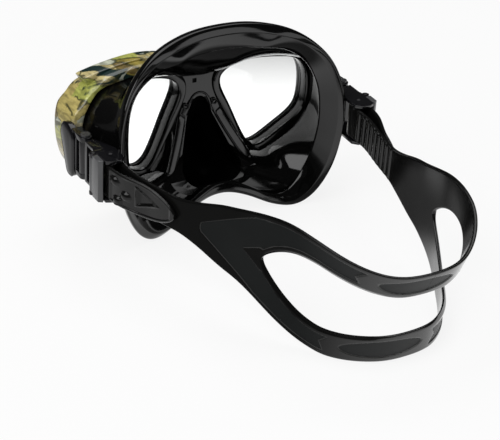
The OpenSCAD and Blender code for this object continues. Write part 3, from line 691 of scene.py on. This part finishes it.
def half_in(s):
    """From the middle line to the slot's edge."""
    q = s / RUN_LEN
    opened = np.sin(pi / 2 * np.clip((q - SLOT_AT) / SLOT_RAMP, 0, 1)) ** SLOT_ROUND
    return (BAND_SPREAD / 2 - BAND_W / 2 + bow(q)) * opened


def sideways(d):
    return np.stack([d[:, 1], -d[:, 0]], -1)


def strap_stations():
    """Rows of the strap from the tail's tip round the roller to the middle of the back."""
    tip = np.linspace(TAIL_LEN, TAIL_LEN - TAIL_TIP, TIP_ROWS)[:-1]
    tail = np.concatenate([tip, np.linspace(TAIL_LEN - TAIL_TIP, TAIL_START, TAIL_ROWS)])
    around = np.radians(np.linspace(0, 180, TURN_ROWS))
    bands = SLOT_S + (1 - SLOT_AT) * RUN_LEN * np.linspace(0, 1, BAND_ROWS) ** BAND_CROWD
    back = np.concatenate([np.linspace(RUN_START, RIB_END, RIB_ROWS)[:-1],
                           np.linspace(RIB_END, SLOT_S, FORK_ROWS)[:-1], bands])
    off = mix(2 * TURN_R, TAIL_GAP, ease(*TAIL_SETTLE, tail))
    tail_q = np.clip(2 * tail / TAIL_LEN - 1, 0, None)
    tail_out = STRAP_W / 2 * np.sqrt(np.maximum(TIP_FLAT, 1 - tail_q**2))
    turn_place = roller_at + TURN_R * turned(np.stack([np.cos(around), np.sin(around)], -1))
    turn_along = turned(np.stack([-np.sin(around), np.cos(around)], -1))
    flat = np.zeros(len(around))
    bare = np.zeros(len(tail) + len(around))
    return {
        "place": np.vstack([run_at(tail) - sideways(run_dir(tail)) * off[:, None], turn_place, run_at(back)]),
        "side": sideways(np.vstack([-run_dir(tail), turn_along, run_dir(back)])),
        "out": np.concatenate([tail_out, flat + STRAP_W / 2, half_out(back)]),
        "slot": np.concatenate([bare, half_in(back)]),
        "lean": np.concatenate([bare, BAND_LEAN * ease(*LEAN_FROM, back / RUN_LEN)]),
        "share": np.concatenate([tail, flat, back]) / RUN_LEN,
        "s": np.concatenate([-tail - TAIL_SHIFT, flat - TURN_SHIFT, back]),
    }


# The strap's sunk panels: a vee round the front of the slot on each side, and a lozenge on each band.
# The strap lies a little to the left in its buckles, the lower band more than the upper.
PANEL_FRONT, PANEL_TIP, PANEL_SLOPE, PANEL_START = 61.0, 2.2, 0.55, 4
VEE_FRONT, VEE_LEN, VEE_HALF, VEE_OPEN = 86.0, 10.0, 5.6, 2
BORDER_FRONT, BORDER_OUT, BORDER_IN = 3.6, 2.3, 3.2
SLIDE, SLIDE_LEAN = 8.75, 0.193
LOZENGE_HALF, LOZENGE_LEAN, LOZENGE_W, LOZENGE_GAP, NOTCH = 17.3, 0.11, 4.6, 5.5, 3.4
PANEL_SUNK, PANEL_STEP = 0.5, 0.45


def panel_mask(s, w, out, slot, side):
    """1 on the sunk panels of the outer face, 0 on its glossy border."""
    border = mix(BORDER_FRONT, BORDER_OUT, ease(PANEL_FRONT, SLOT_S, s))
    tip = np.minimum(PANEL_TIP + PANEL_SLOPE * (s - PANEL_FRONT), PANEL_START * (s - PANEL_FRONT))
    wide = np.minimum(out - border, tip) - np.abs(w)
    vee = np.clip((s - VEE_FRONT) / VEE_LEN, 0, 1)
    clear = np.where(s < VEE_FRONT, VEE_OPEN, np.abs(w) - np.maximum(slot + BORDER_IN, VEE_HALF) * vee)
    along = np.abs(side * (RUN_LEN - s) + SLIDE - SLIDE_LEAN * w)
    half = LOZENGE_HALF - LOZENGE_LEAN * w
    middle, room = (out + slot) / 2, np.maximum(1, (out - slot) / 2 - BORDER_OUT)
    off_middle = np.abs(np.abs(w) - middle)
    end = along - half - LOZENGE_GAP - NOTCH * np.clip(1 - off_middle / room, 0, 1)
    panel = np.minimum(np.minimum(wide, clear), end)
    lozenge = LOZENGE_W * np.sqrt(np.clip(1 - (along / half) ** 2, 0, 1)) - off_middle
    lozenge = np.where(along < half, lozenge, -1)
    return np.maximum(ease(0, PANEL_STEP, panel), ease(0, PANEL_STEP, lozenge))


# Relief of the loose tail: places along it and across it
TAIL_BUMPS = [(12.0, 3.7), (14.0, -6.0), (18.7, -1.7)]
BUMP_R, BUMP_H = 2.5, 1.6
DISH_SUNK, DISH_EDGE, DISH_FROM, DISH_TIP, DISH_SLOPE = 0.45, 1.3, 9, 2.4, 0.6
WEDGE_AT, WEDGE_LEN, WEDGE_HALF, WEDGE_UP, WEDGE_SUNK, WEDGE_SLOPE = 25.0, 11.5, 4.4, 0.6, 1.1, 0.6
WEDGE_RIM, WEDGE_RIM_H, WEDGE_RIM_OUT, WEDGE_RIM_IN = 1.0, 0.45, 0.4, 0.3


def grip_height(s, w, out):
    """Ribs of the run's head side, and the relief of the loose tail's outer side."""
    q = (s - RIB_FIRST) % RIB_PITCH
    rib = RIB_H * ease(0, RIB_SLOPE, q) * ease(0, RIB_SLOPE, RIB_W - q) * ease(*RIB_EDGE, out - np.abs(w))
    height = np.where((s > RIB_FIRST) & (s < RIB_END), rib, 0)
    t = -s - TAIL_SHIFT
    dish = np.minimum(np.minimum(out - np.abs(w) - DISH_EDGE, t - DISH_FROM), TAIL_LEN - DISH_TIP - t)
    height = height - np.where(t > 0, DISH_SUNK * ease(0, DISH_SLOPE, dish), 0)
    for place, up in TAIL_BUMPS:
        d = np.hypot(t - place, w - up)
        height = height + BUMP_H * np.sqrt(np.clip(1 - (d / BUMP_R) ** 2, 0, 1))
    wedge = WEDGE_HALF * (WEDGE_AT + WEDGE_LEN - t) / WEDGE_LEN - np.abs(w - WEDGE_UP)
    wedge = np.minimum(t - WEDGE_AT, wedge)
    edge = ease(0, WEDGE_RIM_OUT, wedge + WEDGE_RIM) * (1 - ease(0, WEDGE_RIM_IN, wedge))
    return height + np.where(t > 0, WEDGE_RIM_H * edge - WEDGE_SUNK * ease(0, WEDGE_SLOPE, wedge), 0)


EDGE_IN = np.array([0, 0.1, 0.3, 0.6, 1.0])
EDGE_UP = np.array([0, 0.45, 0.75, 0.94, 1.0])
EDGE_SPACE, EDGE_SLOT, MID_COLUMNS = 2.6, (0, 3), 34
DULL_FRONT, SHINE_FROM, HEAD_GLOSS = 0.05, (115, 165), 0.6
LOW_LEAN, UPPER_DROP, DROP_FROM = 0.2, 3.2, (0.6, 0.95)
CHAMFER, CHAMFER_W, CHAMFER_SLOT, CHAMFER_END = 1.0, 1.8, (0, 4), (150, 165)
SAG_FROM, SAG_LEAST, SWAY_FROM = (0.45, 0.95), 0.3, (0.15, 0.6)
STRAP_CREASE = 50


def strap_columns(out, slot):
    """Places across a band from slot to edge, and how far the faces stand up there."""
    n = len(out)
    small = np.minimum(1, (out - slot) / EDGE_SPACE)
    low, high = slot + EDGE_IN * small, out - EDGE_IN[::-1] * small
    inner = np.linspace(0, 1, MID_COLUMNS + 2)[1:-1]
    w = np.hstack([low, mix(low[:, -1:], high[:, :1], inner), high])
    rise = np.hstack([mix(1, EDGE_UP, ease(*EDGE_SLOT, slot)), np.ones((n, MID_COLUMNS)),
                      np.broadcast_to(EDGE_UP[::-1], (n, len(EDGE_UP)))])
    return w, rise


def strap_skins(rows, side):
    """Points, panel and gloss of the four skins: head side and outer side of each band."""
    out, slot = rows["out"][:, None], rows["slot"][:, None]
    w, rise = strap_columns(out, slot)
    s = np.broadcast_to(rows["s"][:, None], w.shape)
    lean = np.radians(rows["lean"])[:, None]
    points, masks, glosses = [], [], []
    for half in (1, -1):
        ww = half * w
        mask = np.where(s > 0, panel_mask(s, ww, out, slot, side), 0)
        grip = grip_height(s, ww, np.broadcast_to(out, w.shape))
        tilt = lean if half > 0 else LOW_LEAN * lean
        near_slot = np.clip(1 - (w - slot) / CHAMFER_W, 0, 1) * ease(*CHAMFER_SLOT, slot)
        near_slot = near_slot * (1 - ease(*CHAMFER_END, s))
        for face in (1, -1):
            lift = grip if face > 0 else -PANEL_SUNK * mask - CHAMFER * near_slot
            off = face * rise * (STRAP_T / 2 + lift) - ww * np.sin(tilt)
            flat = rows["place"][:, None, :] + rows["side"][:, None, :] * off[..., None]
            p = from_hinge(np.concatenate([flat, (ww * np.cos(tilt))[..., None]], -1))
            if half > 0:
                p[..., 2] -= UPPER_DROP * ease(*DROP_FROM, rows["share"])[:, None]
            points.append(p)
            masks.append(mask if face < 0 else 0 * mask)
            glosses.append(mix(DULL_FRONT, 1, ease(*SHINE_FROM, s)) if face < 0 else HEAD_GLOSS + 0 * mask)
    return np.array(points), np.array(masks, np.float32), np.array(glosses, np.float32)


def laid_down(points, share, side):
    """The strap swayed, and sagging until its lower band rests on the floor."""
    share = share[None, :, None]
    sag = ease(*SAG_FROM, share)
    lowest = points[..., 2].min(axis=(0, 2))
    resting = sag[0, :, 0] > SAG_LEAST
    droop = ((lowest - GROUND)[resting] / sag[0, resting, 0]).min()
    points[..., 0] = side * points[..., 0] + SWAY * ease(*SWAY_FROM, share)
    points[..., 2] -= droop * sag
    return points


def quads(a, b):
    return np.stack([a[..., :-1], a[..., 1:], b[..., 1:], b[..., :-1]], -1).reshape(-1, 4).tolist()


def strap_faces(slot, columns):
    """Faces of the four skins, then the slot's walls and the ends."""
    skins = np.arange(4 * len(slot) * columns).reshape(4, len(slot), columns)
    faces = quads(skins[:, :-1], skins[:, 1:])
    for a, b in (skins[:2], skins[2:]):
        walls = np.stack([a[:-1, 0], b[:-1, 0], b[1:, 0], a[1:, 0]], -1)
        faces += walls[slot[1:] > 0].tolist() + quads(a[[0, -1]], b[[0, -1]])
    return faces


def make_strap_half(name, side):
    rows = strap_stations()
    points, masks, glosses = strap_skins(rows, side)
    points = laid_down(points, rows["share"], side)
    strap = new_piece(name, placed(points.reshape(-1, 3)), strap_faces(rows["slot"], points.shape[2]))
    set_values(strap, "panel", masks.ravel())
    set_values(strap, "gloss", glosses.ravel())
    close_seams(strap, FINE_SEAM)
    soften(strap, STRAP_CREASE)
    return strap


straps = {side: make_strap_half(f"{side}_strap_half", sign) for side, sign in (("left", -1), ("right", 1))}


# Hinges, buckles and small parts: the solids with their moulded edges rounded off
CAP_DOME, CAP_SKIN = [(0.9, 0.45), (1.1, 0.35), (1.4, 0.2)], 0.05
SOLID_SEAM, SOLID_FLAT, SOLID_CREASE = 1e-6, 0.5, 35


def dome_cap(piece):
    """Raises the hinge cap's flat outer face to a low dome, in steps of inset and height."""
    data = piece.data
    outer = max(abs(v.co.x) for v in data.vertices) - CAP_SKIN * MM
    for parts in (data.vertices, data.edges, data.polygons):
        parts.foreach_set("select", [False] * len(parts))
    for face in data.polygons:
        face.select = all(abs(data.vertices[i].co.x) > outer for i in face.vertices)
    only(piece)
    scene.tool_settings.mesh_select_mode = (False, False, True)
    bpy.ops.object.mode_set(mode="EDIT")
    for inset, height in CAP_DOME:
        bpy.ops.mesh.inset(thickness=inset * MM, depth=height * MM)
    bpy.ops.object.mode_set(mode="OBJECT")


def eased_copy(solid, width):
    piece = add_object(f"{solid}_dress", frame["nodes"][solid].data.copy())
    edit(piece, ("remove_doubles", {"threshold": SOLID_SEAM}),
         ("dissolve_limited", {"angle_limit": radians(SOLID_FLAT)}))
    modify(piece, "BEVEL", width=width * MM, segments=3, limit_method="ANGLE",
           angle_limit=radians(SOLID_CREASE))
    if solid.endswith("hinge_bracket"):
        dome_cap(piece)
    soften(piece, SOLID_CREASE)
    return piece


# Finishes
BUMP_DEPTH, SOFT = 0.0002, "SMOOTHSTEP"
WHITE = (1, 1, 1, 1)


def shader(name):
    material = bpy.data.materials.new(name)
    material.use_nodes = True
    tree = material.node_tree
    return material, tree, tree.nodes["Principled BSDF"]


def plug(made, links):
    """Gives a node's inputs values, or the outputs of other nodes."""
    for key, value in links.items():
        if isinstance(value, bpy.types.NodeSocket):
            made.id_data.links.new(value, made.inputs[key])
        else:
            made.inputs[key].default_value = value


def node(tree, kind, links=None, **settings):
    made = tree.nodes.new("ShaderNode" + kind)
    set_all(made, settings)
    plug(made, links or {})
    return made


def maths(tree, operation, *values):
    return node(tree, "Math", dict(enumerate(values)), operation=operation).outputs[0]


def ranged(tree, value, low, high, start=0.0, stop=1.0, kind="LINEAR"):
    """low where the value is start, high where it is stop."""
    links = {"Value": value, "From Min": start, "From Max": stop, "To Min": low, "To Max": high}
    return node(tree, "MapRange", links, interpolation_type=kind).outputs[0]


def blended(tree, mask, a, b, kind="RGBA"):
    return node(tree, "Mix", {"Factor": mask, "A": a, "B": b}, data_type=kind).outputs["Result"]


def two_tone(tree, mask, dark, light):
    return blended(tree, mask, (*dark, 1), (*light, 1))


def noise(tree, place, scale, detail, **links):
    links = {"Vector": place, "Scale": scale, "Detail": detail, **links}
    return node(tree, "TexNoise", links).outputs


def object_place(tree):
    return node(tree, "TexCoord").outputs["Object"]


def point_value(tree, name):
    return node(tree, "Attribute", attribute_name=name).outputs["Fac"]


def moulded_group():
    """Fine unevenness of a moulded surface: a mask for colour, a roughness shift and a height."""
    tree = bpy.data.node_groups.new("moulded_surface", "ShaderNodeTree")
    sockets = {"INPUT": ("Cloud Scale", "Grain Scale", "Roughness", "Spread"),
               "OUTPUT": ("Cloud", "Roughness", "Height")}
    for way, names in sockets.items():
        for name in names:
            tree.interface.new_socket(name, in_out=way, socket_type="NodeSocketFloat")
    given = tree.nodes.new("NodeGroupInput").outputs
    result = tree.nodes.new("NodeGroupOutput")
    place = object_place(tree)
    cloud = noise(tree, place, given["Cloud Scale"], 4.0)["Fac"]
    grain = noise(tree, place, given["Grain Scale"], 2.0)["Fac"]
    centred = maths(tree, "SUBTRACT", cloud, 0.5)
    shift = maths(tree, "MULTIPLY_ADD", centred, given["Spread"], given["Roughness"])
    plug(result, {"Cloud": cloud, "Roughness": shift, "Height": grain})
    return tree


MOULDED = moulded_group()


def moulded(tree, cloud, grain, roughness, spread):
    links = {"Cloud Scale": cloud, "Grain Scale": grain, "Roughness": roughness, "Spread": spread}
    return node(tree, "Group", links, node_tree=MOULDED).outputs


def bumped(tree, bsdf, height, strength):
    bump = node(tree, "Bump", {"Height": height, "Strength": strength, "Distance": BUMP_DEPTH})
    plug(bsdf, {"Normal": bump.outputs["Normal"]})


def plain_mould(name, dark, light, roughness, spread, cloud, grain, bump):
    material, tree, bsdf = shader(name)
    surface = moulded(tree, cloud, grain, roughness, spread)
    colour = two_tone(tree, surface["Cloud"], dark, light)
    plug(bsdf, {"Base Color": colour, "Roughness": surface["Roughness"]})
    bumped(tree, bsdf, surface["Height"], bump)
    return material


def skirt_finish():
    """Glossy black silicone, duller inside the nose pocket and in the dimple above it."""
    material, tree, bsdf = shader("skirt_silicone")
    inside = point_value(tree, "inside")
    surface = moulded(tree, cloud=40.0, grain=2600.0, roughness=0.0, spread=0.05)
    colour = two_tone(tree, surface["Cloud"], (0.0016, 0.0016, 0.0016), (0.0028, 0.0028, 0.0028))
    rough = maths(tree, "ADD", ranged(tree, inside, 0.08, 0.5), surface["Roughness"])
    sheen = ranged(tree, inside, 0.5, 0.12)
    plug(bsdf, {"Base Color": colour, "Roughness": rough, "Specular IOR Level": sheen, "IOR": 1.45})
    bumped(tree, bsdf, surface["Height"], strength=0.02)
    return material


def strap_finish():
    """Glossy border and matt, finely grained panels of the strap, with a painted highlight line between them.
    """
    material, tree, bsdf = shader("strap_silicone")
    panel = point_value(tree, "panel")
    surface = moulded(tree, cloud=45.0, grain=3200.0, roughness=0.0, spread=0.12)
    border = two_tone(tree, surface["Cloud"], (0.0035, 0.0035, 0.0034), (0.0055, 0.0055, 0.0053))
    field = two_tone(tree, surface["Cloud"], (0.012, 0.013, 0.013), (0.017, 0.018, 0.018))
    # Painted highlight: a light line along the edge of each sunk panel, where its step would catch the light
    step = maths(tree, "MULTIPLY", maths(tree, "SUBTRACT", 1.0, panel), panel)
    line = ranged(tree, step, 0.0, 0.55, start=0.1, stop=0.25)
    panels_with_painted_highlight = blended(tree, line, blended(tree, panel, border, field), (0.07, 0.07, 0.068, 1))
    rough = maths(tree, "ADD", ranged(tree, panel, 0.2, 0.48), surface["Roughness"])
    sheen = maths(tree, "MULTIPLY", ranged(tree, panel, 0.55, 0.2), point_value(tree, "gloss"))
    plug(bsdf, {"Base Color": panels_with_painted_highlight, "Roughness": rough, "Specular IOR Level": sheen})
    height = maths(tree, "MULTIPLY", surface["Height"], ranged(tree, panel, 0.08, 0.6))
    bumped(tree, bsdf, height, strength=0.12)
    return material


def blotch(tree, place, scale, seed, low, high, detail, stretch):
    """A mask of soft-edged patches."""
    links = {"Vector": place, "Location": (seed, 2.3 * seed, -1.7 * seed), "Scale": stretch}
    spot = node(tree, "Mapping", links).outputs[0]
    patches = noise(tree, spot, scale, detail, Distortion=0.8)["Fac"]
    return ranged(tree, patches, 0.0, 1.0, low, high, SOFT)


CAMO_TONES = [(0.0, (0.30, 0.24, 0.050)), (0.20, (0.52, 0.44, 0.20)), (0.38, (0.40, 0.42, 0.10)),
              (0.54, (0.62, 0.56, 0.34)), (0.70, (0.20, 0.145, 0.045)), (0.82, (0.46, 0.38, 0.13)),
              (0.92, (0.50, 0.52, 0.40))]
CAMO_WATER, CAMO_PALE, CAMO_VEIN = (0.008, 0.024, 0.022), (0.45, 0.48, 0.40), (0.030, 0.034, 0.014)
# Masks of the camouflage: scale, seed, low and high edge, detail and stretch
STREAKS, WEAR = (260, 3.1, 0.35, 0.65, 4.0, (1.0, 0.35, 1.6)), (90, 5.2, 0.42, 0.52, 3.0, (1.0, 1.0, 1.0))
WATER, PALE = (48, 7.4, 0.60, 0.64, 3.0, (0.7, 1, 1.2)), (75, 1.9, 0.62, 0.66, 4.0, (1.0, 1.0, 1.0))
CAMO_PLATES, CAMO_WARP, CAMO_PUSH = 78.0, 70.0, 0.012


def camo_tones(tree, value):
    ramp = node(tree, "ValToRGB", {"Fac": value})
    ramp.color_ramp.interpolation = "CONSTANT"
    stops = ramp.color_ramp.elements
    for at, colour in CAMO_TONES:
        stop = stops[0] if at == 0 else stops.new(at)
        stop.color = (*colour, 1)
    stops.remove(stops[-1])
    return ramp.outputs["Color"]


def camo_finish():
    """Printed camouflage under a clear coat: plates in several tones, dark veins, deep water patches."""
    material, tree, bsdf = shader("camo_print")
    place = object_place(tree)
    surface = moulded(tree, cloud=70.0, grain=2200.0, roughness=0.28, spread=0.12)
    warp = noise(tree, place, CAMO_WARP, 3.0)["Color"]
    pushed = blended(tree, CAMO_PUSH, place, warp, "VECTOR")
    links = {"Vector": pushed, "Rotation": (0.5, 0.35, 0.6), "Scale": (1.0, 0.8, 1.5)}
    plates = {"Vector": node(tree, "Mapping", links).outputs[0], "Scale": CAMO_PLATES}
    cells = node(tree, "TexVoronoi", plates).outputs["Color"]
    veins = node(tree, "TexVoronoi", plates, feature="DISTANCE_TO_EDGE").outputs["Distance"]
    tones = camo_tones(tree, node(tree, "SeparateColor", {"Color": cells}).outputs["Red"])
    shade = ranged(tree, blotch(tree, place, *STREAKS), 0.62, 1.12)
    colour = node(tree, "VectorMath", {0: tones, 1: shade}, operation="MULTIPLY").outputs[0]
    line = ranged(tree, veins, 0.85, 0.0, start=0.025, stop=0.075)
    worn = maths(tree, "MULTIPLY", line, blotch(tree, place, *WEAR))
    water, pale = blotch(tree, place, *WATER), blotch(tree, place, *PALE)
    for mask, tint in ((water, CAMO_WATER), (pale, CAMO_PALE), (worn, CAMO_VEIN)):
        colour = blended(tree, mask, colour, (*tint, 1))
    plug(bsdf, {"Base Color": colour, "Roughness": surface["Roughness"], "Coat Weight": 0.4,
                "Coat Roughness": 0.12})
    bumped(tree, bsdf, surface["Height"], strength=0.06)
    return material


def glass_finish():
    material, tree, bsdf = shader("lens_glass")
    haze = noise(tree, object_place(tree), 90.0, 3.0)["Fac"]
    tint = two_tone(tree, haze, (0.985, 0.995, 0.99), (0.995, 1.0, 0.998))
    plug(bsdf, {"Base Color": tint, "Roughness": ranged(tree, haze, 0.0, 0.015), "Transmission Weight": 1.0,
                "IOR": 1.45})
    return material


# Plastics: name, two tones, roughness and its spread, scale of clouds and grain, bump
PLASTICS = [
    ("buckle_plastic", (0.004, 0.004, 0.005), (0.007, 0.007, 0.008), 0.09, 0.06, 90.0, 3000.0, 0.02),
    ("lever_plastic", (0.060, 0.061, 0.063), (0.080, 0.081, 0.084), 0.15, 0.08, 90.0, 3000.0, 0.04),
    ("roller_plastic", (0.012, 0.012, 0.013), (0.020, 0.020, 0.021), 0.35, 0.15, 120.0, 3000.0, 0.1),
    ("retainer_plastic", (0.012, 0.012, 0.013), (0.018, 0.018, 0.019), 0.28, 0.12, 80.0, 2500.0, 0.06),
    ("pin_dark", (0.030, 0.030, 0.032), (0.045, 0.045, 0.047), 0.25, 0.12, 300.0, 5000.0, 0.05)]
SKIRT_BLACK = skirt_finish()
BUCKLE_BLACK, LEVER_GREY, ROLLER_DARK, RETAINER_BLACK, PIN_DARK = (plain_mould(*look) for look in PLASTICS)
STRAP_GREY = strap_finish()
CAMO = camo_finish()
GLASS = glass_finish()


def paint(piece, material):
    piece.data.materials.clear()
    piece.data.materials.append(material)


def dress(piece, material, body=None):
    paint(piece, material)
    if body:
        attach(piece, body)
    return piece


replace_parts(dress(skirt, SKIRT_BLACK, "mask"), "skirt")
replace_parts(dress(frame_dress, CAMO, "mask"), "frame")
for side, strap in straps.items():
    dress(strap, STRAP_GREY)
    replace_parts(strap, "strap")
    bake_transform(strap)

# Solids with rounded copies: width, finish, slot and body. The others show themselves.
EASED = {"hinge_bracket": (1.0, BUCKLE_BLACK, "buckle_black", "mask"),
         "buckle_body": (0.35, BUCKLE_BLACK, "buckle_black", "{}_buckle"),
         "release_lever": (0.4, LEVER_GREY, "lever", "{}_lever"),
         "lens_retainer": (0.3, RETAINER_BLACK, "retainer", "mask")}
SHOWN = {"lens": GLASS, "roller": ROLLER_DARK, "hinge_pin": PIN_DARK, "roller_pin": PIN_DARK,
         "lever_pin": PIN_DARK}
for side in ("left", "right"):
    for part, (width, material, slot, body) in EASED.items():
        name = f"{side}_{part}"
        piece = dress(eased_copy(name, width), material, body.format(side))
        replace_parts(piece, name)
    for part, material in SHOWN.items():
        paint(frame["nodes"][f"{side}_{part}"], material)


# Floor, backdrop light, and softboxes with place, size and power
FLOOR_SIZE, FLOOR_TONE, FLOOR_GLOW = 8.0, (0.8, 0.8, 0.8, 1), 0.86
# The floor's glow in reflections is painted: levels from left to right (painted dark at the left), near to
# far, and a painted shadow under the mask
FLAG_DARK, FLAG_LIGHT, FLAG_LEVELS = -0.11, 0.0, (0.8, 1.4)
TABLE_NEAR, TABLE_FAR, TABLE_LEVELS = 0.16, 0.4, (1.0, 0.12)
SHADE_MIDDLE, SHADE_DARK, SHADE_END, SHADE_LEVELS = (0.055, 0.05, 0.0), 0.04, 0.075, (0.15, 1.0)
WORLD_FILL, WORLD_MIRROR = 0.2, 0.03
SOFTBOX_AIM = (0, 0, 0.05)
SOFTBOXES = {"softbox_left": ((-1.2, -0.3, 1.3), (1.5, 1.2), 20),
             "softbox_back": ((0.7, -1.4, 0.32), (1.0, 0.6), 3),
             "softbox_top": ((0.2, 0.3, 1.7), (1.6, 1.4), 16)}


def light_path(tree):
    path = node(tree, "LightPath").outputs
    return path, maths(tree, "MAXIMUM", path["Is Camera Ray"], path["Is Transmission Ray"])


def white_floor():
    bpy.ops.mesh.primitive_plane_add(size=FLOOR_SIZE, location=(0, 0, 0))
    floor = bpy.context.object
    floor.name = "floor"
    material, tree, bsdf = shader("floor_white")
    tree.nodes.remove(bsdf)
    lit = node(tree, "BsdfDiffuse", {"Color": FLOOR_TONE})
    glow = node(tree, "Emission", {"Color": WHITE, "Strength": 1.0})
    path, seen = light_path(tree)
    share = maths(tree, "MULTIPLY", seen, FLOOR_GLOW)
    both = node(tree, "MixShader", {0: share, 1: lit.outputs[0], 2: glow.outputs[0]})
    # Seen in reflections the floor glows at a painted level: darker to the left, fading with distance, with a
    # painted shadow under the mask
    spot = object_place(tree)
    across = node(tree, "SeparateXYZ", {"Vector": spot}).outputs["X"]
    painted_flag_shade = ranged(tree, across, *FLAG_LEVELS, FLAG_DARK, FLAG_LIGHT, SOFT)
    far = node(tree, "VectorMath", {0: spot}, operation="LENGTH").outputs["Value"]
    fade = ranged(tree, far, *TABLE_LEVELS, TABLE_NEAR, TABLE_FAR, SOFT)
    off = node(tree, "VectorMath", {0: spot, 1: SHADE_MIDDLE}, operation="DISTANCE")
    shade = ranged(tree, off.outputs["Value"], *SHADE_LEVELS, SHADE_DARK, SHADE_END, SOFT)
    level = maths(tree, "MULTIPLY", maths(tree, "MULTIPLY", painted_flag_shade, fade), shade)
    painted_reflection = node(tree, "Emission", {"Color": WHITE, "Strength": level})
    parts = {0: path["Is Glossy Ray"], 1: both.outputs[0], 2: painted_reflection.outputs[0]}
    whole = node(tree, "MixShader", parts).outputs[0]
    plug(tree.nodes["Material Output"], {"Surface": whole})
    floor.data.materials.append(material)


def white_world():
    world = bpy.data.worlds.new("studio")
    scene.world = world
    world.use_nodes = True
    tree = world.node_tree
    path, seen = light_path(tree)
    fill = ranged(tree, path["Is Glossy Ray"], WORLD_FILL, WORLD_MIRROR)
    strength = blended(tree, seen, fill, 1.0, "FLOAT")
    plug(tree.nodes["Background"], {"Color": WHITE, "Strength": strength})


white_floor()
white_world()
for name, (place, size, power) in SOFTBOXES.items():
    data = bpy.data.lights.new(name, "AREA")
    data.shape = "RECTANGLE"
    data.size, data.size_y = size
    data.energy = power
    lamp = add_object(name, data)
    lamp.location = place
    lamp.rotation_euler = (Vector(SOFTBOX_AIM) - Vector(place)).to_track_quat("-Z", "Y").to_euler()

for object_ in bpy.data.objects:
    object_.select_set(False)
